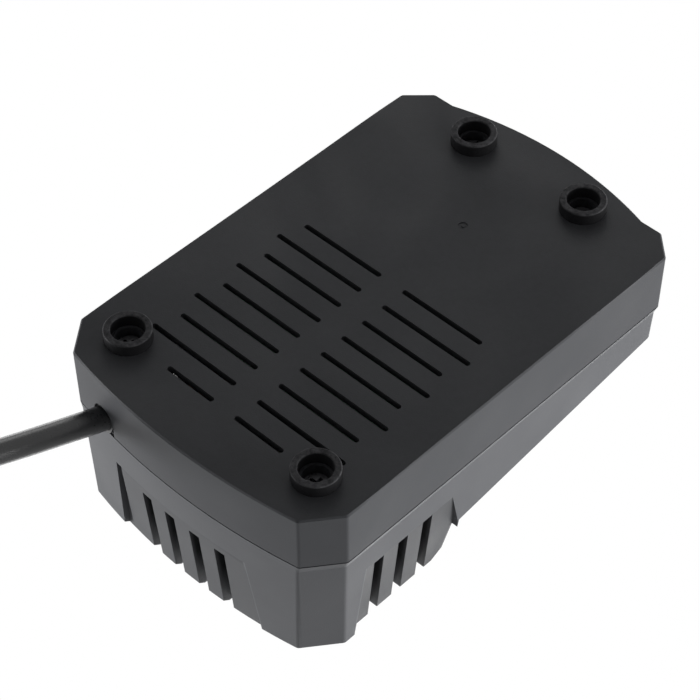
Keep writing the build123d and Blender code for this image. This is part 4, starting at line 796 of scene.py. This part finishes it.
def turn_radius(angle):
    """Radius of the coil at an angle along it, in degrees from its start."""
    outer, middle, inner = COIL_ROWS_R
    rows = (outer, middle, inner, middle, outer)
    radius = outer
    for start, before, after in zip(SHIFT_STARTS, rows, rows[1:]):
        if angle >= start + SHIFT_TURN:
            radius = after
        elif angle > start:
            radius = before + (after - before) * (angle - start) / SHIFT_TURN
    return radius


def turn_height(angle):
    """Height of the cord's middle at an angle along the coil."""
    share = min(1.0, max(0.0, (angle - CLIMB_START) / CLIMB_TURN))
    return CORD_D / 2 + CORD_D * share


def coil_points():
    """Control points round the coil; they stand out so that the spline between has the radius."""
    swell = 1 / cos(radians(COIL_STEP / 2))
    angles = [step * COIL_STEP for step in range(int(COIL_END / COIL_STEP) + 1)]
    return [on_coil(angle, turn_radius(angle) * swell, turn_height(angle)) for angle in angles]


print("coil: turns", round(COIL_END / 360, 1), "points", len(coil_points()))

# %% Route of the cord
CORD_START = [
    (-0.02801, 0.06618, 0.02152),
    (-0.03580, 0.09991, 0.01635),
    (-0.0425, 0.1340, 0.0066),
    (-0.0400, 0.1700, 0.0038),
    (-0.0458, 0.2060, 0.0038),
]
PLUG_X, PLUG_Z = -0.034, 0.0285
PLUG_END_Y = 0.235
LAST_TURN_R = 0.0482
LAST_TURN = [
    (75, 0.0118), (105, 0.0154), (135, 0.0194), (165, 0.0209),
    (195, 0.0220), (225, 0.0234), (255, 0.0250),
]
CORD_END = [on_coil(angle, LAST_TURN_R, height) for angle, height in LAST_TURN] + [
    (PLUG_X + 0.0234, PLUG_END_Y - 0.0396, 0.0266),
    (PLUG_X + 0.0086, PLUG_END_Y - 0.0314, 0.0279),
    (PLUG_X, PLUG_END_Y - 0.0166, PLUG_Z),
    (PLUG_X, PLUG_END_Y, PLUG_Z),
]
cord_route = CORD_START + coil_points() + CORD_END
print("cord: control points", len(cord_route))

# %% [markdown]
# One spline follows the whole cord. It could be a mesh swept along a path, but a curve with a
# round bevel keeps its thickness by itself, and a smooth NURBS spline can't kink. Its order and
# its free ends are set after the points, since they depend on them.

# %% Mains cord
cord_data = bpy.data.curves.new("power_cord", "CURVE")
cord_data.dimensions = "3D"
spline = cord_data.splines.new("NURBS")
spline.points.add(len(cord_route) - 1)
for point, place in zip(spline.points, cord_route):
    point.co = (*place, 1.0)
spline.order_u = 3
spline.use_endpoint_u = True
spline.resolution_u = 8
cord_data.bevel_depth = CORD_D / 2
cord_data.bevel_resolution = 5
cord_data.use_fill_caps = True
cord_data.materials.append(finishes["cord_rubber"])
power_cord = bpy.data.objects.new("power_cord", cord_data)
bpy.context.scene.collection.objects.link(power_cord)
print("power_cord: length", round(spline.calc_length(), 3), "thickness", CORD_D)

# %% [markdown]
# ## Plug and wrap
# Both are modelled with Blender's own tools, as by hand. Such a tool acts on all that is selected,
# so these helpers clear the selection first and then pick faces or edges by their place. In face
# mode a vertex or edge that stays selected would be extruded along with the faces, which leaves
# inner walls, so those are cleared too.

# %% Helpers for edit mode
def start_edit(piece):
    """Only this piece selected and in edit mode, with nothing selected on it."""
    if bpy.context.object and bpy.context.object.mode != "OBJECT":
        bpy.ops.object.mode_set(mode="OBJECT")
    bpy.ops.object.select_all(action="DESELECT")
    piece.select_set(True)
    bpy.context.view_layer.objects.active = piece
    bpy.ops.object.mode_set(mode="EDIT")
    bpy.ops.mesh.select_mode(type="FACE")
    bpy.ops.mesh.select_all(action="DESELECT")


def round_edges(piece, wanted, offset, segments):
    """Bevels the edges whose two ends pass a test, and stays in edit mode."""
    start_edit(piece)
    bpy.ops.mesh.select_mode(type="EDGE")
    bpy.ops.object.mode_set(mode="OBJECT")
    for edge in piece.data.edges:
        edge.select = wanted(*(piece.data.vertices[i].co for i in edge.vertices))
    bpy.ops.object.mode_set(mode="EDIT")
    bpy.ops.mesh.bevel(offset=offset, segments=segments)
    bpy.ops.mesh.select_mode(type="FACE")


def pick_faces(piece, wanted):
    """Selects only the faces whose centre and normal pass a test."""
    bpy.ops.mesh.select_all(action="DESELECT")
    bpy.ops.object.mode_set(mode="OBJECT")
    for part in (*piece.data.vertices, *piece.data.edges):
        part.select = False
    for face in piece.data.polygons:
        face.select = wanted(face.center, face.normal)
    bpy.ops.object.mode_set(mode="EDIT")


print("mode before the first piece:", bpy.context.mode)

# %% Helpers for whole pieces
def add_cube(middle, size):
    """A cube primitive at its size and place, alone in the selection."""
    bpy.ops.object.select_all(action="DESELECT")
    bpy.ops.mesh.primitive_cube_add(size=1, location=middle, scale=size)
    bpy.ops.object.transform_apply(location=True, rotation=True, scale=True)
    return bpy.context.object


def apply_modifier(kind, **settings):
    """Adds a modifier to the active piece and applies it."""
    made = bpy.context.object.modifiers.new(kind, kind)
    for name, value in settings.items():
        setattr(made, name, value)
    bpy.ops.object.modifier_apply(modifier=made.name)


def finish_piece(name, finish, replaced, smooth_angle):
    """Names a piece, applies its place, dresses it and says what it stands for."""
    piece = bpy.context.object
    bpy.ops.object.transform_apply(location=True, rotation=True, scale=True)
    piece.name = piece.data.name = name
    piece.data.materials.clear()
    piece.data.materials.append(finishes[finish])
    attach(piece, "charger")
    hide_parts(replaced)
    bpy.ops.object.shade_smooth_by_angle(angle=radians(smooth_angle))
    print(name, "faces:", len(piece.data.polygons))
    return piece


print("both pieces ride on: charger")

# %% [markdown]
# The plug is moulded onto the cord: a rounded block, narrowed at the waist for the fingers, with a
# ribbed boot that keeps the cord from kinking. It could be sculpted from a block, but a row of
# sections gives each rib its own length and width. It starts as a thin slab whose four short
# edges are bevelled round. Its end face is then extruded and scaled section by section, and a
# small bevel and two rounds of subdivision soften what is left sharp.
#
# Each section is a length along the plug and then its size: two shares of the plug's full width
# and height in the body, one width in metres in the boot.

# %% Sections of the plug
PLUG_FACE_Y = 0.283
PLUG_W, PLUG_H = 0.036, 0.026
SLAB, SLAB_SHARE = 0.001, 0.95
CORNER_R, CORNER_STEPS = 0.0078, 6
BODY_SECTIONS = [
    (0.0080, 0.97, 0.97),
    (0.0060, 0.86, 0.88),
    (0.0060, 0.86, 0.88),
    (0.0050, 0.94, 0.94),
    (0.0060, 0.62, 0.70),
]
BOOT_SECTIONS = [
    (0.0012, 0.0150), (0.0026, 0.0148), (0.0006, 0.0118), (0.0016, 0.0118),
    (0.0006, 0.0140), (0.0024, 0.0136), (0.0006, 0.0108), (0.0014, 0.0108),
    (0.0006, 0.0126), (0.0024, 0.0122), (0.0006, 0.0100), (0.0020, 0.0098),
]
plug_sections = [(length, PLUG_W * wide, PLUG_H * high) for length, wide, high in BODY_SECTIONS]
plug_sections += [(length, across, across) for length, across in BOOT_SECTIONS]
print("plug length:", round(SLAB + sum(length for length, _, _ in plug_sections), 4))

# %% [markdown]
# The end face is the one that faces down the plug and lies farthest along it. What an operator did
# to the mesh can be read only outside edit mode, so each step leaves it and comes back: once to
# measure the new end, and once for the next section.

# %% Plug body
FACING, SAME_PLACE = 0.9, 1e-5


def push_end(piece, distance, wide, high):
    """Extrudes the end face along the plug and scales it to a width and a height."""
    end_y = min(v.co.y for v in piece.data.vertices)
    pick_faces(piece, lambda centre, normal: normal.y < -FACING and centre.y < end_y + SAME_PLACE)
    bpy.ops.mesh.extrude_region_move(TRANSFORM_OT_translate={"value": (0, -distance, 0)})
    bpy.ops.object.mode_set(mode="OBJECT")
    end = [v.co for v in piece.data.vertices if v.select]
    now_wide = max(co.x for co in end) - min(co.x for co in end)
    now_high = max(co.z for co in end) - min(co.z for co in end)
    bpy.ops.object.mode_set(mode="EDIT")
    scale = (wide / now_wide, 1.0, high / now_high)
    bpy.ops.transform.resize(value=scale, center_override=(PLUG_X, end_y - distance, PLUG_Z))
    bpy.ops.object.mode_set(mode="OBJECT")
    bpy.ops.object.mode_set(mode="EDIT")


slab_size = (PLUG_W * SLAB_SHARE, SLAB, PLUG_H * SLAB_SHARE)
plug = add_cube((PLUG_X, PLUG_FACE_Y - SLAB / 2, PLUG_Z), slab_size)
round_edges(plug, lambda a, b: abs(a.y - b.y) > SLAB / 2, CORNER_R, CORNER_STEPS)
for section in plug_sections:
    push_end(plug, *section)
bpy.ops.object.mode_set(mode="OBJECT")
apply_modifier("BEVEL", width=0.0007, segments=2, limit_method="ANGLE", angle_limit=radians(33))
apply_modifier("SUBSURF", levels=2, render_levels=2)
plug = finish_piece("plug_shell", "plug_plastic", "plug_body", smooth_angle=50)

# %% [markdown]
# A strip of woven tape holds the turns together. It is a band of rounded section round the two
# layers of cord on one side of the coil; only the end that rises to the plug passes over it. A
# cube takes the section's size, its long edges are bevelled, its two ends are opened, and Solidify
# gives the band its thickness. A curve could be swept round the same way, but the cube takes the
# CAD tie's box as it is.

# %% Coil wrap
WRAP_W, WRAP_T = 0.012, 0.0006
WRAP_CORNER_R, WRAP_CORNER_STEPS = 0.0038, 8

wrap_low, wrap_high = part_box("coil_tie")
wrap_size = wrap_high - wrap_low
wrap = add_cube((wrap_low + wrap_high) / 2, (WRAP_W, wrap_size.y, wrap_size.z))
round_edges(wrap, lambda a, b: abs(a.x - b.x) > WRAP_W / 2, WRAP_CORNER_R, WRAP_CORNER_STEPS)
pick_faces(wrap, lambda centre, normal: abs(normal.x) > FACING)
bpy.ops.mesh.delete(type="FACE")
bpy.ops.object.mode_set(mode="OBJECT")
apply_modifier("SOLIDIFY", thickness=WRAP_T, offset=-1)
apply_modifier("BEVEL", width=0.00015, segments=1, limit_method="ANGLE", angle_limit=radians(60))
wrap = finish_piece("coil_wrap", "tie_plastic", "coil_tie", smooth_angle=40)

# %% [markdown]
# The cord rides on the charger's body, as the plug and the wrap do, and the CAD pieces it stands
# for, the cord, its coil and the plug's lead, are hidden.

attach(power_cord, "charger")
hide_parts("mains_cord", "cord_coil", "plug_lead")

# %% [markdown]
# ## Floor and light
# The floor shows only to the camera, and only from above, so the cover can be seen from below and
# lamps on either side of it light the object. Near the object it is matt and takes the shadow.
# Farther out it blends into plain white, which hides its edge and the falling off of the lamps.
# A larger floor would hide its edge too, but not the grey band at the horizon of a low view.

# %% Floor
FLOOR_SIZE = 12
FLOOR_GREY, WHITE = (0.86, 0.86, 0.86, 1.0), (1.0, 1.0, 1.0, 1.0)
MATT_REACH, WHITE_REACH = 0.35, 1.1


def make_floor_material():
    """Matt near the object and plain white farther out, seen only by the camera from above."""
    made = bpy.data.materials.new("floor")
    made.use_nodes = True
    made.cycles.emission_sampling = "NONE"
    tree = made.node_tree
    tree.nodes.clear()
    pale = node(tree, "ShaderNodeBsdfDiffuse", {"Color": FLOOR_GREY}).outputs[0]
    bright = node(tree, "ShaderNodeEmission", {"Color": WHITE, "Strength": 1.0}).outputs[0]
    clear = node(tree, "ShaderNodeBsdfTransparent").outputs[0]
    reach = node(tree, "ShaderNodeVectorMath", {0: object_place(tree)}, operation="LENGTH").outputs
    far_off = remap(tree, reach["Value"], MATT_REACH, WHITE_REACH, 0.0, 1.0)
    ground = node(tree, "ShaderNodeMixShader", {0: far_off, 1: pale, 2: bright}).outputs[0]
    camera_ray = node(tree, "ShaderNodeLightPath").outputs["Is Camera Ray"]
    from_below = node(tree, "ShaderNodeNewGeometry").outputs["Backfacing"]
    shown = maths(tree, "MULTIPLY", camera_ray, maths(tree, "SUBTRACT", 1.0, from_below))
    surface = node(tree, "ShaderNodeMixShader", {0: shown, 1: clear, 2: ground}).outputs[0]
    give(tree, {"Surface": surface}, node(tree, "ShaderNodeOutputMaterial").inputs)
    return made


bpy.ops.object.select_all(action="DESELECT")
bpy.ops.mesh.primitive_plane_add(size=FLOOR_SIZE, location=(0, 0, 0))
floor = bpy.context.object
floor.name = "floor"
floor.data.materials.append(make_floor_material())
print("floor: matt up to", MATT_REACH, "and white from", WHITE_REACH)

# %% [markdown]
# The world is the light of the room. The camera, reflections and what is seen through glass get
# plain white, so that metal and clear plastic show the background that the camera sees. All other
# light from it is a soft grey, brighter from above than from below, as under a white ceiling.
# One strength for both would be simpler, but a white as bright as that would wash the greys out.

# %% World
SKY_BAND = 0.6
SKY_LOW, SKY_HIGH = 0.05, 0.45


def make_world():
    """A white background with a soft grey light of its own."""
    made = bpy.data.worlds.new("studio")
    made.use_nodes = True
    tree = made.node_tree
    tree.nodes.clear()
    direction = node(tree, "ShaderNodeTexCoord").outputs["Generated"]
    sky = remap(tree, axes_of(tree, direction)[2], -SKY_BAND, SKY_BAND, SKY_LOW, SKY_HIGH)
    soft = node(tree, "ShaderNodeBackground", {"Color": WHITE, "Strength": sky}).outputs[0]
    white = node(tree, "ShaderNodeBackground", {"Color": WHITE, "Strength": 1.0}).outputs[0]
    path = node(tree, "ShaderNodeLightPath").outputs
    seen = maths(tree, "MAXIMUM", path["Is Camera Ray"], path["Is Glossy Ray"])
    seen = maths(tree, "MAXIMUM", seen, path["Is Transmission Ray"])
    mixed = node(tree, "ShaderNodeMixShader", {0: seen, 1: soft, 2: white}).outputs[0]
    give(tree, {"Surface": mixed}, node(tree, "ShaderNodeOutputWorld").inputs)
    return made


bpy.context.scene.world = make_world()
print("world: light from", SKY_LOW, "below to", SKY_HIGH, "above")

# %% [markdown]
# Five square lamps do the rest, as softboxes do in a studio. Sun or point lamps would give hard
# shadows. The two keys stand low at the right and at the rear, so that each wall has a tone of its
# own. The fills keep the underside and the front from going black, and the one overhead gives the
# shadow on the floor.

# %% Lamps
AIM = (0.0, 0.0, 0.035)
LAMPS = {
    "side_key": dict(place=(1.15, -0.70, 0.10), size=0.7, power=19.0),
    "rear_key": dict(place=(-1.05, 0.92, 0.26), size=0.45, power=17.0),
    "under_fill": dict(place=(-0.75, -0.80, -0.62), size=0.5, power=1.4),
    "overhead": dict(place=(-0.3, -0.5, 1.4), size=1.2, power=10.0),
    "front_fill": dict(place=(-0.9, -1.0, 0.35), size=1.0, power=5.0),
}


def softbox(name, place, size, power):
    """A square lamp that faces the object."""
    data = bpy.data.lights.new(name, "AREA")
    data.size = size
    data.energy = power
    lamp = bpy.data.objects.new(name, data)
    towards = Vector(AIM) - Vector(place)
    turned = towards.to_track_quat("-Z", "Y").to_matrix().to_4x4()
    lamp.matrix_world = Matrix.Translation(place) @ turned
    bpy.context.scene.collection.objects.link(lamp)


for name, numbers in LAMPS.items():
    softbox(name, **numbers)
print("lamps:", len(LAMPS), "watts:", sum(numbers["power"] for numbers in LAMPS.values()))
